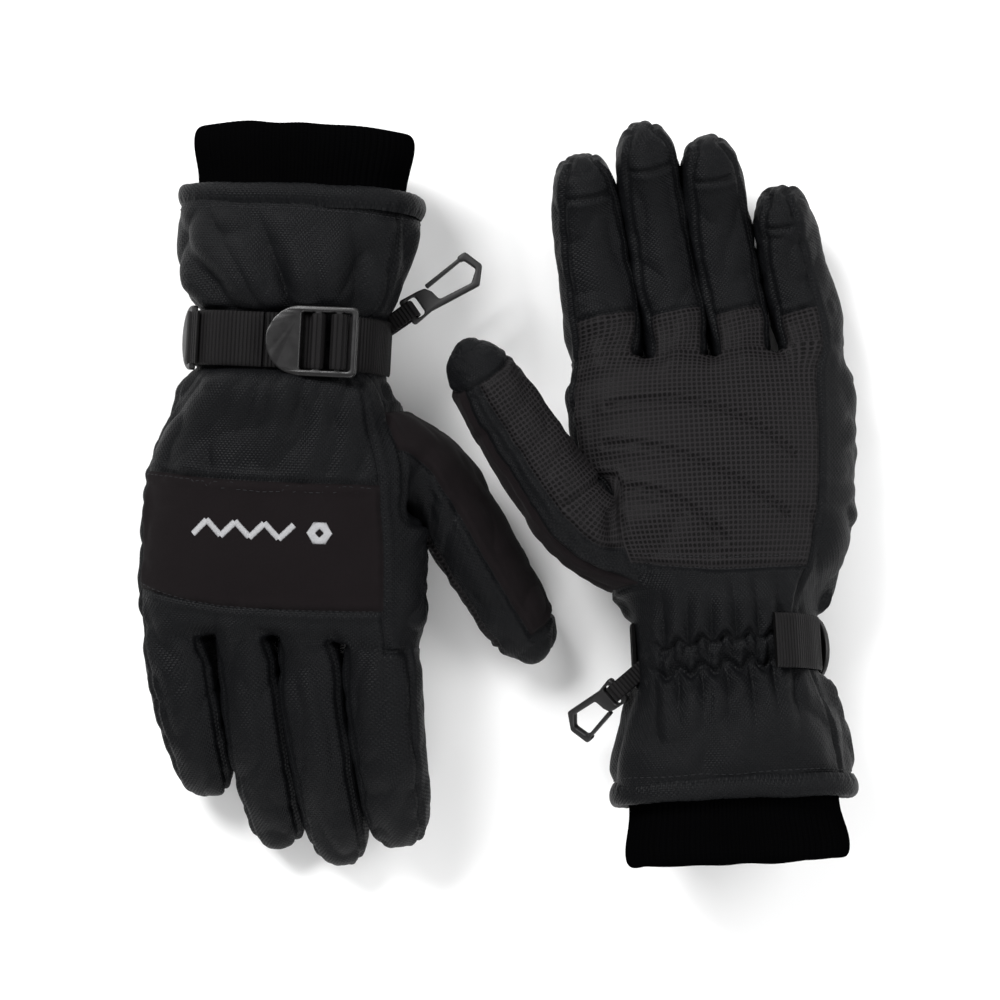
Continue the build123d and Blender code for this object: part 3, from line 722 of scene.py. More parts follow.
def fold_field(points, on_digit, seam_distance):
    """How far the cloth stands out of its taut shape, in folds, gathers, creases and puckers."""
    u, v, w = points.T
    girth = np.arctan2(w, u) * 34
    hand = 1 - on_digit
    palm = smooth(-w, -2, 7) * hand
    back = smooth(w, -8, 3) * hand
    slow = cloud(points, (40, 40, 40), 1)
    lift = np.zeros(len(points))
    # gathers along the elastic on the palm side of the wrist
    phase = 2 * math.pi * u / GATHER_PITCH + 1.1 * slow
    across = smooth(u, -34, -26) * (1 - smooth(u, 27, 35))
    middle = ELASTIC_V - ELASTIC_LEAN * u
    upper = v - (middle + GATHER_HALF + 2.0 * np.sin(phase))
    lower = v - (middle - GATHER_HALF + 2.0 * np.sin(phase))
    pinch = np.exp(-(upper / 1.9) ** 2) + np.exp(-(lower / 1.9) ** 2)
    gather = -2.3 * pinch
    gather += np.where(upper > 0, 3.4 * hump(upper, 6.0) * ridge(phase + 1.2), 0)
    gather += np.where(lower < 0, 3.6 * hump(-lower, 7.0) * ridge(phase - 1.9), 0)
    gather += np.where((upper < 0) & (lower > 0), 1.6 * ridge(2 * phase + 0.8), 0)
    lift += gather * palm * across
    # cloth pushed up on both sides of the strap, in folds that fan out from it
    gap = np.abs(v - STRAP_CENTRE) - STRAP_WIDTH / 2 - 1.0
    side = np.where(v > STRAP_CENTRE, 1.0, -1.0)
    fan = girth * (1 - 0.006 * np.maximum(gap, 0)) + 2.0 * slow * side
    folds = ridge(fan / 2.3 + 2.1 * side) * 0.45 + ridge(fan / 4.3 - 1.3 * side) * 0.8
    lift += back * (2.6 * hump(gap, 7.0) + 5.2 * hump(gap, 10.0) * folds) * smooth(v, -45, -38)
    # soft drape of the gauntlet, back and heel
    drape_share = (hand * smooth(np.abs(v - STRAP_CENTRE), 14, 24) * (1 - smooth(v, 60, 66))
                   * smooth(v, -46, -38))
    creases = np.abs(cloud(points, (17, 30, 17), 2)) ** 0.8 - 0.35
    hook_room = np.exp(-((v + 12) / 16) ** 2) * smooth(u, 26, 36) * smooth(-w, -16, -4)
    lift += 3.0 * creases * drape_share * (1 - 0.8 * hook_room) - 1.2 * hook_room
    # finer creases along the fingers, thumb and side strips
    fine = np.abs(cloud(points, (12, 19, 13), 3)) ** 0.75 - 0.35
    lift += 1.5 * fine * on_digit
    lift += 1.2 * fine * hand * smooth(v, 116, 126)
    strips = hand * smooth(np.abs(u), 50, 57) * smooth(v, 30, 44)
    lift += 2.2 * (np.abs(cloud(points, (14, 12, 16), 4)) ** 0.8 - 0.35) * strips
    # stitched lines that quilt the palm patch
    for line in PALM_LINES:
        knots = np.array(line, float)
        t = np.linspace(0, 1, 60)[:, None]
        curve = (1 - t) ** 2 * knots[0] + 2 * t * (1 - t) * knots[1] + t ** 2 * knots[2]
        apart = np.sqrt(((points[:, None, :2] - curve[None]) ** 2).sum(2)).min(1)
        lift += (0.5 * np.exp(-((apart - 2.6) / 1.8) ** 2) - 1.1 * np.exp(-(apart / 1.2) ** 2)) * palm
    # puckers beside the seams
    puckers = 0.34 * np.exp(-(seam_distance / 4.0) ** 2) * cloud(points, (4.2, 4.2, 4.2), 5)
    lift += puckers * np.where(v < -40, 0, 1)
    return lift


def finish_fabric(obj):
    mesh = obj.data
    fabric = Fabric()
    points = mesh_points(mesh) / SIM_SCALE
    fabric.faces = [tuple(p.vertices) for p in mesh.polygons]
    fabric.panels = face_panels(mesh)
    uv = np.zeros(len(mesh.loops) * 2)
    mesh.uv_layers[0].data.foreach_get("uv", uv)
    fabric.uv = uv.reshape(-1, 2)
    fabric.starts = np.array([p.loop_start for p in mesh.polygons])
    seam_points = np.array(sorted({v for e in seam_edges(mesh, fabric.panels) for v in e}))
    distance = nearest(points, points[seam_points])
    digits = np.array(["finger" in name or "thumb" in name for name in PANELS])
    on_digit = np.zeros(len(points))
    for face, panel in zip(fabric.faces, fabric.panels):
        if digits[panel]:
            on_digit[list(face)] = 1.0
    normals = vertex_normals(points, fabric.faces)
    groove = -0.95 * np.exp(-(distance / 1.15) ** 2)
    roll = 0.5 * np.exp(-((distance - 2.4) / 1.5) ** 2)
    lift = groove + roll + fold_field(points, on_digit, distance)
    points = points + normals * lift[:, None]
    fabric.points = points
    fabric.normals = vertex_normals(points, fabric.faces)
    return fabric


def sewn_glove():
    cage = build_cage()
    obj = cage_object(cage)
    subdivide(obj, 2)
    drape(obj)
    subdivide(obj, 1)
    fabric = finish_fabric(obj)
    bpy.data.objects.remove(obj)
    return fabric


# ---------------------------------------------------------------- making objects
def link(name, mesh):
    obj = bpy.data.objects.new(name, mesh)
    bpy.context.scene.collection.objects.link(obj)
    return obj


REST_LAYER = 1.3 * MM  # cloth this near the floor starts to flatten
FLOOR_SKIN = 0.15 * MM


def pressed_flat(points):
    """Placed points with whatever would sink into the floor pressed flat on it."""
    points = np.array(points)
    low = np.minimum(points[:, 2] - REST_LAYER, 0) / REST_LAYER
    pressed = FLOOR_SKIN + (REST_LAYER - FLOOR_SKIN) * np.exp(low)
    points[:, 2] = np.where(low < 0, pressed, points[:, 2])
    return points


def glove_mesh(hand, name, points, faces, normals=None, uv=None, smooth_faces=True):
    """A mesh from glove-frame points, placed for a hand, with the right glove's faces turned over."""
    faces = list(faces)
    if hand == "right":
        faces = [tuple(reversed(f)) for f in faces]
    mesh = bpy.data.meshes.new(name)
    mesh.from_pydata(pressed_flat(placed(hand, points)).tolist(), [], faces)
    if uv is not None:
        layer = mesh.uv_layers.new(name="fabric")
        if hand == "right":
            uv = [tuple(reversed(u)) for u in uv]
        layer.data.foreach_set("uv", np.array([c for u in uv for c in u], np.float32).ravel())
    mesh.polygons.foreach_set("use_smooth", [smooth_faces] * len(faces))
    if normals is not None:
        turned = np.asarray(normals) @ PLACE[hand][0].T
        mesh.normals_split_custom_set_from_vertices(turned.tolist())
    mesh.update()
    return mesh


def fabric_piece(fabric, hand, name, panels, material):
    """The part of the sewn surface that the named panels cover."""
    chosen = [panel_id(p) for p in panels]
    picked = np.nonzero(np.isin(fabric.panels, chosen))[0]
    used, faces, uv = {}, [], []
    for index in picked:
        face = []
        for v in fabric.faces[index]:
            face.append(used.setdefault(v, len(used)))
        faces.append(tuple(face))
        start = fabric.starts[index]
        uv.append([tuple(fabric.uv[start + k]) for k in range(len(face))])
    order = np.array(list(used))
    mesh = glove_mesh(hand, name, fabric.points[order], faces, fabric.normals[order], uv)
    obj = link(f"{hand}_{name}", mesh)
    mesh.materials.append(material)
    return obj


# ---------------------------------------------------------------- shapes shared by the hard and woven parts
def grid_faces(rows, columns, closed=True, ends=False):
    faces = []
    for i in range(rows - 1):
        for j in range(columns if closed else columns - 1):
            k = (j + 1) % columns
            faces.append((i * columns + j, i * columns + k, (i + 1) * columns + k, (i + 1) * columns + j))
    if ends:
        faces.append(tuple(reversed(range(columns))))
        faces.append(tuple((rows - 1) * columns + j for j in range(columns)))
    return faces


def grid_uv(rows, columns, along, around, closed=True, ends=False):
    uv = []
    for i in range(rows - 1):
        for j in range(columns if closed else columns - 1):
            uv.append(((around[j], along[i]), (around[j + 1], along[i]),
                       (around[j + 1], along[i + 1]), (around[j], along[i + 1])))
    if ends:
        uv += [tuple((0.0, 0.0) for _ in range(columns))] * 2
    return uv


def section_points(angles, half, over, under, power=ROUND):
    """Points round a puffy cross-section at angles from the thumb side over the back."""
    c, s = np.cos(angles), np.sin(angles)
    height = np.where(s >= 0, over, under)
    grow = (np.abs(c / half) ** power + np.abs(s / height) ** power) ** (-1 / power)
    return np.stack((c * grow, s * grow), axis=1)


def wobble(angles, waves, seed):
    """A smooth random ripple round a ring, about -1 to 1."""
    r = np.random.default_rng(seed)
    total = np.zeros_like(angles)
    for wave in waves:
        total += r.uniform(0.4, 1) * np.sin(wave * angles + r.uniform(0, 6.28))
    return total / max(len(waves), 1)


def round_corners(points, radius, steps=5):
    """A closed outline with its corners rounded."""
    points = [np.array(p, float) for p in points]
    out = []
    count = len(points)
    for i, p in enumerate(points):
        a, b = points[i - 1], points[(i + 1) % count]
        da, db = unit(a - p), unit(b - p)
        half = math.acos(float(np.clip(da @ db, -1, 1))) / 2
        room = 0.48 * min(np.linalg.norm(a - p), np.linalg.norm(b - p))
        cut = min(radius / max(math.tan(half), 1e-3), room)
        r = cut * math.tan(half)
        middle = p + unit(da + db) * (r / max(math.sin(half), 1e-3))
        start, end = p + da * cut - middle, p + db * cut - middle
        for k in range(steps + 1):
            t = k / steps
            v = start * (1 - t) + end * t
            out.append(middle + unit(v) * r)
    return out


def plate(outline, holes, thickness, bevel, bend=None):
    """A flat moulded part with rounded edges: points and faces, its thickness about z = 0."""
    curve = bpy.data.curves.new("plate", "CURVE")
    curve.dimensions = "2D"
    curve.fill_mode = "BOTH"
    for ring in [outline, *holes]:
        spline = curve.splines.new("POLY")
        spline.points.add(len(ring) - 1)
        for point, (x, y) in zip(spline.points, ring):
            point.co = (x, y, 0, 1)
        spline.use_cyclic_u = True
    curve.extrude = thickness / 2 - bevel
    curve.bevel_depth = bevel
    curve.bevel_resolution = 2
    curve.offset = -bevel
    obj = link("plate", curve)
    bpy.context.view_layer.update()
    mesh = evaluated_copy(obj)
    work = bmesh.new()
    work.from_mesh(mesh)
    bmesh.ops.remove_doubles(work, verts=work.verts, dist=0.01)
    bmesh.ops.recalc_face_normals(work, faces=work.faces)
    points = np.array([v.co for v in work.verts])
    faces = [tuple(v.index for v in f.verts) for f in work.faces]
    work.free()
    bpy.data.meshes.remove(mesh)
    bpy.data.objects.remove(obj)
    if bend is not None:
        points[:, 2] += bend(points[:, 0])
    return points, faces


def in_frame(points, origin, x_dir, y_dir, z_dir):
    points = np.asarray(points, float)
    return (np.array(origin, float) + points[:, :1] * np.array(x_dir) + points[:, 1:2] * np.array(y_dir)
            + points[:, 2:3] * np.array(z_dir))


def sharp_by_angle(obj, degrees=35):
    obj.data.set_sharp_from_angle(angle=math.radians(degrees))


def resample(path, step):
    path = np.asarray(path, float)
    lengths = np.concatenate(([0], np.cumsum(np.linalg.norm(np.diff(path, axis=0), axis=1))))
    count = max(int(lengths[-1] / step), 2)
    at = np.linspace(0, lengths[-1], count + 1)
    return np.stack([np.interp(at, lengths, path[:, k]) for k in range(path.shape[1])], axis=1), at


RIB = 1.45
WEBBING = 1.35
WEB_SIDES = (-1, -0.985, -0.93, -0.8, -0.6, -0.35, 0, 0.35, 0.6, 0.8, 0.93, 0.985, 1)


def webbing(path, low, high, thickness=WEBBING):
    """Ribbed webbing along a path in the (X, Z) plane, from Y low to high: points, faces, fabric uv."""
    line, at = resample(path, RIB / 6)
    tangent = np.gradient(line, axis=0)
    tangent /= np.linalg.norm(tangent, axis=1)[:, None]
    normal = np.stack((-tangent[:, 1], tangent[:, 0]), axis=1)
    width = high - low
    profile = [(s, 1) for s in WEB_SIDES] + [(s, -1) for s in WEB_SIDES[::-1]]
    rib = 0.14 * np.abs(np.cos(np.pi * at / RIB)) - 0.10
    points = []
    for i in range(len(line)):
        for s, face in profile:
            edge = 1 - 0.55 * max(0, abs(s) - 0.9) / 0.1
            half = (thickness / 2) * edge + rib[i] * (abs(s) < 0.9) + 0.06 * (0.9 < abs(s) < 0.99)
            x, z = line[i] + normal[i] * half * face
            points.append((x, (low + high) / 2 + s * width / 2, z))
    columns = len(profile)
    around = np.arange(columns + 1) * (width / 12.0)
    return (np.array(points), grid_faces(len(line), columns, True, True),
            grid_uv(len(line), columns, at, around, True, True))


def corner_path(points, radius=1.4):
    """An open path with rounded corners."""
    points = [np.array(p, float) for p in points]
    out = [points[0]]
    for a, p, b in zip(points, points[1:], points[2:]):
        da, db = unit(a - p), unit(b - p)
        cut = min(radius, 0.45 * np.linalg.norm(a - p), 0.45 * np.linalg.norm(b - p))
        for k in range(6):
            t = k / 5
            out.append((1 - t) ** 2 * (p + da * cut) + 2 * t * (1 - t) * p + t * t * (p + db * cut))
    out.append(points[-1])
    return out


def capsules(segments, radius, sides=6):
    """Thread-like capsules along (start, end, up) segments, each bowed up in its middle."""
    points, faces = [], []
    shape = ((0.0, 0.25), (0.12, 0.8), (0.35, 1.0), (0.65, 1.0), (0.88, 0.8), (1.0, 0.25))
    for start, end, up in segments:
        start, end, up = (np.asarray(v, float) for v in (start, end, up))
        direction = unit(end - start)
        across = np.cross(direction, up)
        base = len(points)
        for t, size in shape:
            bow = radius * (4 * t * (1 - t) * 0.9 - 0.35)
            middle = start + (end - start) * t + up * bow
            for k in range(sides):
                a = 2 * math.pi * k / sides
                points.append(middle + (across * math.cos(a) + up * math.sin(a)) * radius * size)
        rows = len(shape)
        faces += [tuple(base + i for i in f) for f in grid_faces(rows, sides, True, True)]
    return np.array(points), faces


# ---------------------------------------------------------------- curves on the sewn surface
RAY_START = 80  # a ray starts this far out, clear of the glove


class Surface:
    """Finds places on the finished fabric."""

    def __init__(self, fabric):
        self.tree = BVHTree.FromPolygons([tuple(p) for p in fabric.points], fabric.faces)

    def near(self, point):
        hit, normal, _, _ = self.tree.find_nearest(Vector(point))
        return np.array(hit), np.array(normal)

    def out_from(self, centre, direction):
        out = Vector(direction)
        hit, _, _, _ = self.tree.ray_cast(Vector(centre) + out * RAY_START, -out, RAY_START)
        return None if hit is None else np.array(hit)


def cage_curve(side, first, last, row, along, count=160):
    """Control-cage places across the back or palm at a seam row, moved along the glove."""
    ring = hand_ring(row)
    line = np.array([ring[ring_slot(side, c)] for c in range(len(COLUMNS))])
    at = np.linspace(first, last, count)
    points = np.stack([np.interp(at, range(len(COLUMNS)), line[:, k]) for k in range(3)], axis=1)
    points[:, 1] += along
    return points


def on_surface(surface, points):
    found = [surface.near(p) for p in points]
    return np.array([f[0] for f in found]), np.array([f[1] for f in found])


def stitch_segments(surface, points, pitch=2.7, share=0.68):
    """Stitches along a curve that is first laid on the surface."""
    places, normals = on_surface(surface, points)
    both = np.concatenate((places, normals), axis=1)
    lengths = np.concatenate(([0], np.cumsum(np.linalg.norm(np.diff(places, axis=0), axis=1))))
    count = int(lengths[-1] / pitch)
    segments = []
    for i in range(count):
        ends = []
        for at in (i * pitch, (i + share) * pitch):
            ends.append(np.array([np.interp(at, lengths, both[:, k]) for k in range(6)]))
        up = unit(ends[0][3:] + ends[1][3:])
        segments.append((ends[0][:3], ends[1][:3], up))
    return segments


# ---------------------------------------------------------------- shader groups
def node_group(name, inputs, outputs):
    """An empty shader group with named sockets, its nodes and links, and its two ends."""
    group = bpy.data.node_groups.new(name, "ShaderNodeTree")
    for label, kind, default in inputs:
        socket = group.interface.new_socket(name=label, in_out="INPUT", socket_type=kind)
        if default is not None:
            socket.default_value = default
    for label, kind in outputs:
        group.interface.new_socket(name=label, in_out="OUTPUT", socket_type=kind)
    start, end = group.nodes.new("NodeGroupInput"), group.nodes.new("NodeGroupOutput")
    return group, start, end


def maths(tree, operation, a, b=None, c=None):
    node = tree.nodes.new("ShaderNodeMath")
    node.operation = operation
    for slot, value in enumerate((a, b, c)):
        if value is None:
            continue
        if isinstance(value, (int, float)):
            node.inputs[slot].default_value = value
        else:
            tree.links.new(value, node.inputs[slot])
    return node.outputs[0]


def split_scaled(tree, vector, pitch):
    """The fabric coordinates divided by a pitch."""
    parts = tree.nodes.new("ShaderNodeSeparateXYZ")
    tree.links.new(vector, parts.inputs[0])
    return (maths(tree, "DIVIDE", parts.outputs[0], pitch), maths(tree, "DIVIDE", parts.outputs[1], pitch))


def wave(tree, turns):
    return maths(tree, "SINE", maths(tree, "MULTIPLY", turns, 2 * math.pi))


def noise(tree, vector, scale, detail=2.0):
    node = tree.nodes.new("ShaderNodeTexNoise")
    node.inputs["Scale"].default_value = scale
    node.inputs["Detail"].default_value = detail
    tree.links.new(vector, node.inputs["Vector"])
    return node.outputs["Fac"]


def weave_group():
    """Crossed yarns with a diagonal twill line: height, and a tone that is painted shade of the yarns,
    lighter on the yarn tops and darker in the hollows between them, with random fuzz.
    """
    group, start, end = node_group(
        "Weave", [("Vector", "NodeSocketVector", None), ("Pitch", "NodeSocketFloat", 0.6),
                  ("Twill", "NodeSocketFloat", 0.5)],
        [("Height", "NodeSocketFloat"), ("Tone", "NodeSocketFloat")])
    x, y = split_scaled(group, start.outputs["Vector"], start.outputs["Pitch"])
    warp = maths(group, "ABSOLUTE", wave(group, maths(group, "MULTIPLY", x, 0.5)))
    weft = maths(group, "ABSOLUTE", wave(group, maths(group, "MULTIPLY", y, 0.5)))
    over = maths(group, "MULTIPLY", wave(group, maths(group, "MULTIPLY", x, 0.5)),
                 wave(group, maths(group, "MULTIPLY", y, 0.5)))
    pick = maths(group, "GREATER_THAN", over, 0.0)
    yarns = maths(group, "ADD", maths(group, "MULTIPLY", warp, pick),
                  maths(group, "MULTIPLY", weft, maths(group, "SUBTRACT", 1.0, pick)))
    diagonal = wave(group, maths(group, "MULTIPLY", maths(group, "ADD", x, y), 0.25))
    fuzz = noise(group, start.outputs["Vector"], 1.7, 4.0)
    height = maths(group, "ADD", yarns, maths(group, "MULTIPLY", diagonal, start.outputs["Twill"]))
    height = maths(group, "ADD", height, maths(group, "MULTIPLY", fuzz, 0.8))
    # the tone is painted shade: yarn tops lighter and the hollows between the yarns darker, plus random fuzz
    tone = maths(group, "MULTIPLY_ADD", yarns, 0.5, maths(group, "MULTIPLY", fuzz, 0.8))
    group.links.new(height, end.inputs["Height"])
    group.links.new(tone, end.inputs["Tone"])
    return group


def dots_group():
    """A square grid of raised dots: height and a mask of the dots."""
    group, start, end = node_group(
        "Raised dots", [("Vector", "NodeSocketVector", None), ("Pitch", "NodeSocketFloat", 2.0),
                        ("Size", "NodeSocketFloat", 0.1)],
        [("Height", "NodeSocketFloat"), ("Mask", "NodeSocketFloat")])
    x, y = split_scaled(group, start.outputs["Vector"], start.outputs["Pitch"])
    both = maths(group, "MULTIPLY", maths(group, "ABSOLUTE", wave(group, maths(group, "MULTIPLY", x, 0.5))),
                 maths(group, "ABSOLUTE", wave(group, maths(group, "MULTIPLY", y, 0.5))))
    ramp = group.nodes.new("ShaderNodeMapRange")
    ramp.interpolation_type = "SMOOTHSTEP"
    group.links.new(both, ramp.inputs["Value"])
    group.links.new(start.outputs["Size"], ramp.inputs["From Min"])
    group.links.new(maths(group, "ADD", start.outputs["Size"], 0.35), ramp.inputs["From Max"])
    group.links.new(ramp.outputs["Result"], end.inputs["Height"])
    group.links.new(ramp.outputs["Result"], end.inputs["Mask"])
    return group


def wear_group():
    """Uneven rubbing and lint: a slow mask and fine specks."""
    group, start, end = node_group(
        "Wear", [("Vector", "NodeSocketVector", None), ("Scale", "NodeSocketFloat", 60.0)],
        [("Rubbed", "NodeSocketFloat"), ("Specks", "NodeSocketFloat")])
    scaled = group.nodes.new("ShaderNodeVectorMath")
    scaled.operation = "SCALE"
    group.links.new(start.outputs["Vector"], scaled.inputs[0])
    group.links.new(start.outputs["Scale"], scaled.inputs["Scale"])
    slow = noise(group, scaled.outputs[0], 1.0, 3.0)
    fast = noise(group, scaled.outputs[0], 14.0, 2.0)
    specks = group.nodes.new("ShaderNodeMapRange")
    specks.inputs["From Min"].default_value = 0.66
    specks.inputs["From Max"].default_value = 0.76
    group.links.new(fast, specks.inputs["Value"])
    group.links.new(slow, end.inputs["Rubbed"])
    group.links.new(specks.outputs["Result"], end.inputs["Specks"])
    return group


def material_base(name, colour, roughness, sheen=0.0, gloss=0.08):
    material = bpy.data.materials.new(name)
    material.use_nodes = True
    tree = material.node_tree
    shader = tree.nodes["Principled BSDF"]
    shader.inputs["Base Color"].default_value = (*colour, 1)
    shader.inputs["Roughness"].default_value = roughness
    if sheen:
        shader.inputs["Sheen Weight"].default_value = sheen
        shader.inputs["Sheen Roughness"].default_value = 0.5
    shader.inputs["Specular IOR Level"].default_value = gloss
    return material, tree, shader


def use_group(tree, group, **values):
    node = tree.nodes.new("ShaderNodeGroup")
    node.node_tree = group
    for label, value in values.items():
        node.inputs[label].default_value = value
    return node


def bump(tree, shader, height, strength, distance):
    node = tree.nodes.new("ShaderNodeBump")
    node.inputs["Strength"].default_value = strength
    node.inputs["Distance"].default_value = distance
    tree.links.new(height, node.inputs["Height"])
    tree.links.new(node.outputs["Normal"], shader.inputs["Normal"])


def shade(tree, shader, factor, dark, light):
    """Drives the base colour between two tones."""
    mix = tree.nodes.new("ShaderNodeMix")
    mix.data_type = "RGBA"
    mix.inputs["A"].default_value = (*dark, 1)
    mix.inputs["B"].default_value = (*light, 1)
    tree.links.new(factor, mix.inputs["Factor"])
    tree.links.new(mix.outputs["Result"], shader.inputs["Base Color"])


def toned(colour, share):
    return tuple(min(c * share, 1) for c in colour)


def fabric_uv(tree):
    node = tree.nodes.new("ShaderNodeUVMap")
    node.uv_map = "fabric"
    return node.outputs["UV"]


def worn(tree, groups, scale):
    """The wear group at a scale, laid over the piece itself."""
    place = tree.nodes.new("ShaderNodeTexCoord")
    wear = use_group(tree, groups["wear"], Scale=scale)
    tree.links.new(place.outputs["Object"], wear.inputs["Vector"])
    return wear


def woven_material(name, colour, groups, pitch, twill, roughness, sheen, depth, contrast=1.7, gloss=0.1):
    material, tree, shader = material_base(name, colour, roughness, sheen, gloss)
    weave = use_group(tree, groups["weave"], Pitch=pitch, Twill=twill)
    tree.links.new(fabric_uv(tree), weave.inputs["Vector"])
    wear = worn(tree, groups, 60.0)
    # the base colour carries painted shade from the weave's tone, darker between the yarns and lighter on the
    # yarn tops, plus random rubbing tone
    dark, light = toned(colour, 0.55), toned(colour, contrast)
    mixed = maths(tree, "MULTIPLY_ADD", wear.outputs["Rubbed"], 0.35, weave.outputs["Tone"])
    shade(tree, shader, mixed, dark, light)
    rough = maths(tree, "MULTIPLY_ADD", wear.outputs["Rubbed"], -0.2, roughness + 0.12)
    tree.links.new(rough, shader.inputs["Roughness"])
    bump(tree, shader, weave.outputs["Height"], 0.55, depth)
    return material


def grip_material(name, colour, groups, pitch):
    material, tree, shader = material_base(name, colour, 0.62)
    coordinates = fabric_uv(tree)
    dots = use_group(tree, groups["dots"], Pitch=pitch, Size=0.28)
    weave = use_group(tree, groups["weave"], Pitch=0.5, Twill=0.1)
    for node in (dots, weave):
        tree.links.new(coordinates, node.inputs["Vector"])
    shade(tree, shader, dots.outputs["Mask"], colour, toned(colour, 0.22))
    height = maths(tree, "MULTIPLY_ADD", weave.outputs["Height"], 0.15, dots.outputs["Height"])
    rough = maths(tree, "MULTIPLY_ADD", dots.outputs["Mask"], -0.22, 0.66)
    tree.links.new(rough, shader.inputs["Roughness"])
    bump(tree, shader, height, 0.6, 0.0004)
    return material


def ribbed_material(name, colour, groups, pitch):
    """Narrow webbing: ribs across its width, fine yarns along each rib, with painted shade in the grooves
    between the ribs and a painted highlight on the rib tops.
    """
    material, tree, shader = material_base(name, colour, 0.55, 0.0, 0.07)
    coordinates = fabric_uv(tree)
    parts = tree.nodes.new("ShaderNodeSeparateXYZ")
    tree.links.new(coordinates, parts.inputs[0])
    ribs = maths(tree, "ABSOLUTE", wave(tree, maths(tree, "DIVIDE", parts.outputs[1], 2 * pitch)))
    weave = use_group(tree, groups["weave"], Pitch=0.4, Twill=0.0)
    tree.links.new(coordinates, weave.inputs["Vector"])
    height = maths(tree, "MULTIPLY_ADD", weave.outputs["Height"], 0.12, ribs)
    # the colour follows the rib height: painted shade in the grooves and a painted highlight on the rib tops
    tone = maths(tree, "MULTIPLY_ADD", weave.outputs["Tone"], 0.2, maths(tree, "POWER", ribs, 0.7))
    shade(tree, shader, tone, toned(colour, 0.12), toned(colour, 1.7))
    bump(tree, shader, height, 0.8, 0.0004)
    return material


def moulded_material(name, colour, groups, roughness):
    material, tree, shader = material_base(name, colour, roughness, 0.0, 0.4)
    wear, fine = worn(tree, groups, 260.0), worn(tree, groups, 2600.0)
    shade(tree, shader, wear.outputs["Rubbed"], toned(colour, 0.7), toned(colour, 1.5))
    rough = maths(tree, "MULTIPLY_ADD", wear.outputs["Rubbed"], 0.25, roughness - 0.1)
    tree.links.new(rough, shader.inputs["Roughness"])
    bump(tree, shader, fine.outputs["Rubbed"], 0.25, 0.00015)
    return material


MATERIALS = {}
STATE = {}


def make_materials(settings):
    if MATERIALS:
        return
    groups = {"weave": weave_group(), "dots": dots_group(), "wear": wear_group()}

    def woven(cloth, pitch, *finish):
        colour = tuple(getattr(settings, cloth))
        MATERIALS[cloth] = woven_material(cloth, colour, groups, pitch, *finish)

    # cloth, yarn pitch, twill line, roughness, sheen, bump depth, contrast, gloss
    woven("twill", settings.weave_pitch, 0.2, 0.46, 0.0, 0.0003, 2.2, 0.08)
    woven("softshell", 0.5, 0.0, 0.8, 0.02, 0.00008, 1.3, 0.05)
    MATERIALS["grip"] = grip_material("grip", tuple(settings.grip), groups, settings.dot_pitch)
    woven("knit", 0.9, 0.0, 0.95, 0.0, 0.0002, 1.4, 0.0)
    woven("lining", 0.7, 0.0, 0.9, 0.05, 0.0002)
    MATERIALS["webbing"] = ribbed_material("webbing", tuple(settings.webbing), groups, settings.rib_pitch)
    woven("thread", 0.3, 1.0, 0.6, 0.05, 0.00005)
    woven("embroidery", 0.25, 0.0, 0.42, 0.05, 0.00005, 1.2)
    for part, roughness in (("buckle", 0.38), ("hook", 0.5)):
        plastic = tuple(settings.plastic)
        MATERIALS[part] = moulded_material(part + "_plastic", plastic, groups, roughness)


# ---------------------------------------------------------------- fabric pieces
HAND_PIECES = (
    # piece, panels, cloth, CAD nodes it stands for
    ("gauntlet", ("gauntlet_back",), "twill", ("gauntlet_back",)),
    ("heel", ("palm_heel",), "twill", ("palm_heel", "wrist_elastic")),
    ("back_cloth", ("hand_back",), "twill", ("hand_back",)),
    ("band", ("knuckle_band",), "softshell", ("knuckle_band",)),
    ("knuckles", ("knuckle_panel",), "twill", ("knuckle_panel",)),
    ("patch", ("palm_patch", "palm_web"), "grip", ("palm_patch",)),
    ("index_strip", ("index_side_panel",), "twill", ("index_side_panel",)),
    ("little_strip", ("little_side_panel",), "twill", ("little_side_panel",)),
)


def build_fabric():
    fabric = sewn_glove()
    STATE["fabric"], STATE["surface"] = fabric, Surface(fabric)
    for hand in HANDS:
        for name, panels, cloth, nodes in HAND_PIECES:
            obj = fabric_piece(fabric, hand, name, panels, MATERIALS[cloth])
            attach(obj, f"{hand}_hand")
            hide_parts(*[f"{hand}_{n}" for n in nodes])
        for i, finger in enumerate(FINGER_NAMES):
            parts = [("back_cloth", ["_back"], "twill"), ("front_cloth", ["_front"], "twill"),
                     ("grip_cloth", ["_grip"], "grip"), ("side_cloth", ["_sides", "_outer"], "twill")]
            for part, endings, cloth in parts:
                panels = [finger + e for e in endings if finger + e in PANELS]
                digit_piece(fabric, hand, f"{finger}_{part}", panels, cloth,
                            (finger,))
        for part, panels, cloth in (("thumb_back_cloth", ["thumb_back"], "twill"),
                                    ("thumb_fold_cloth", ["thumb_front"], "twill"),
                                    ("thumb_grip_cloth", ["thumb_grip"], "grip"),
                                    ("thumb_root_grip", ["thumb_grip_root"], "grip"),
                                    ("thumb_softshell", ["thumb_softshell"], "softshell")):
            digit_piece(fabric, hand, part, panels, cloth,
                        ("thumb", "thumb_gusset"))


def digit_piece(fabric, hand, name, panels, cloth, nodes):
    obj = fabric_piece(fabric, hand, name, panels, MATERIALS[cloth])
    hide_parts(*[f"{hand}_{n}" for n in nodes])
    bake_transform(obj)


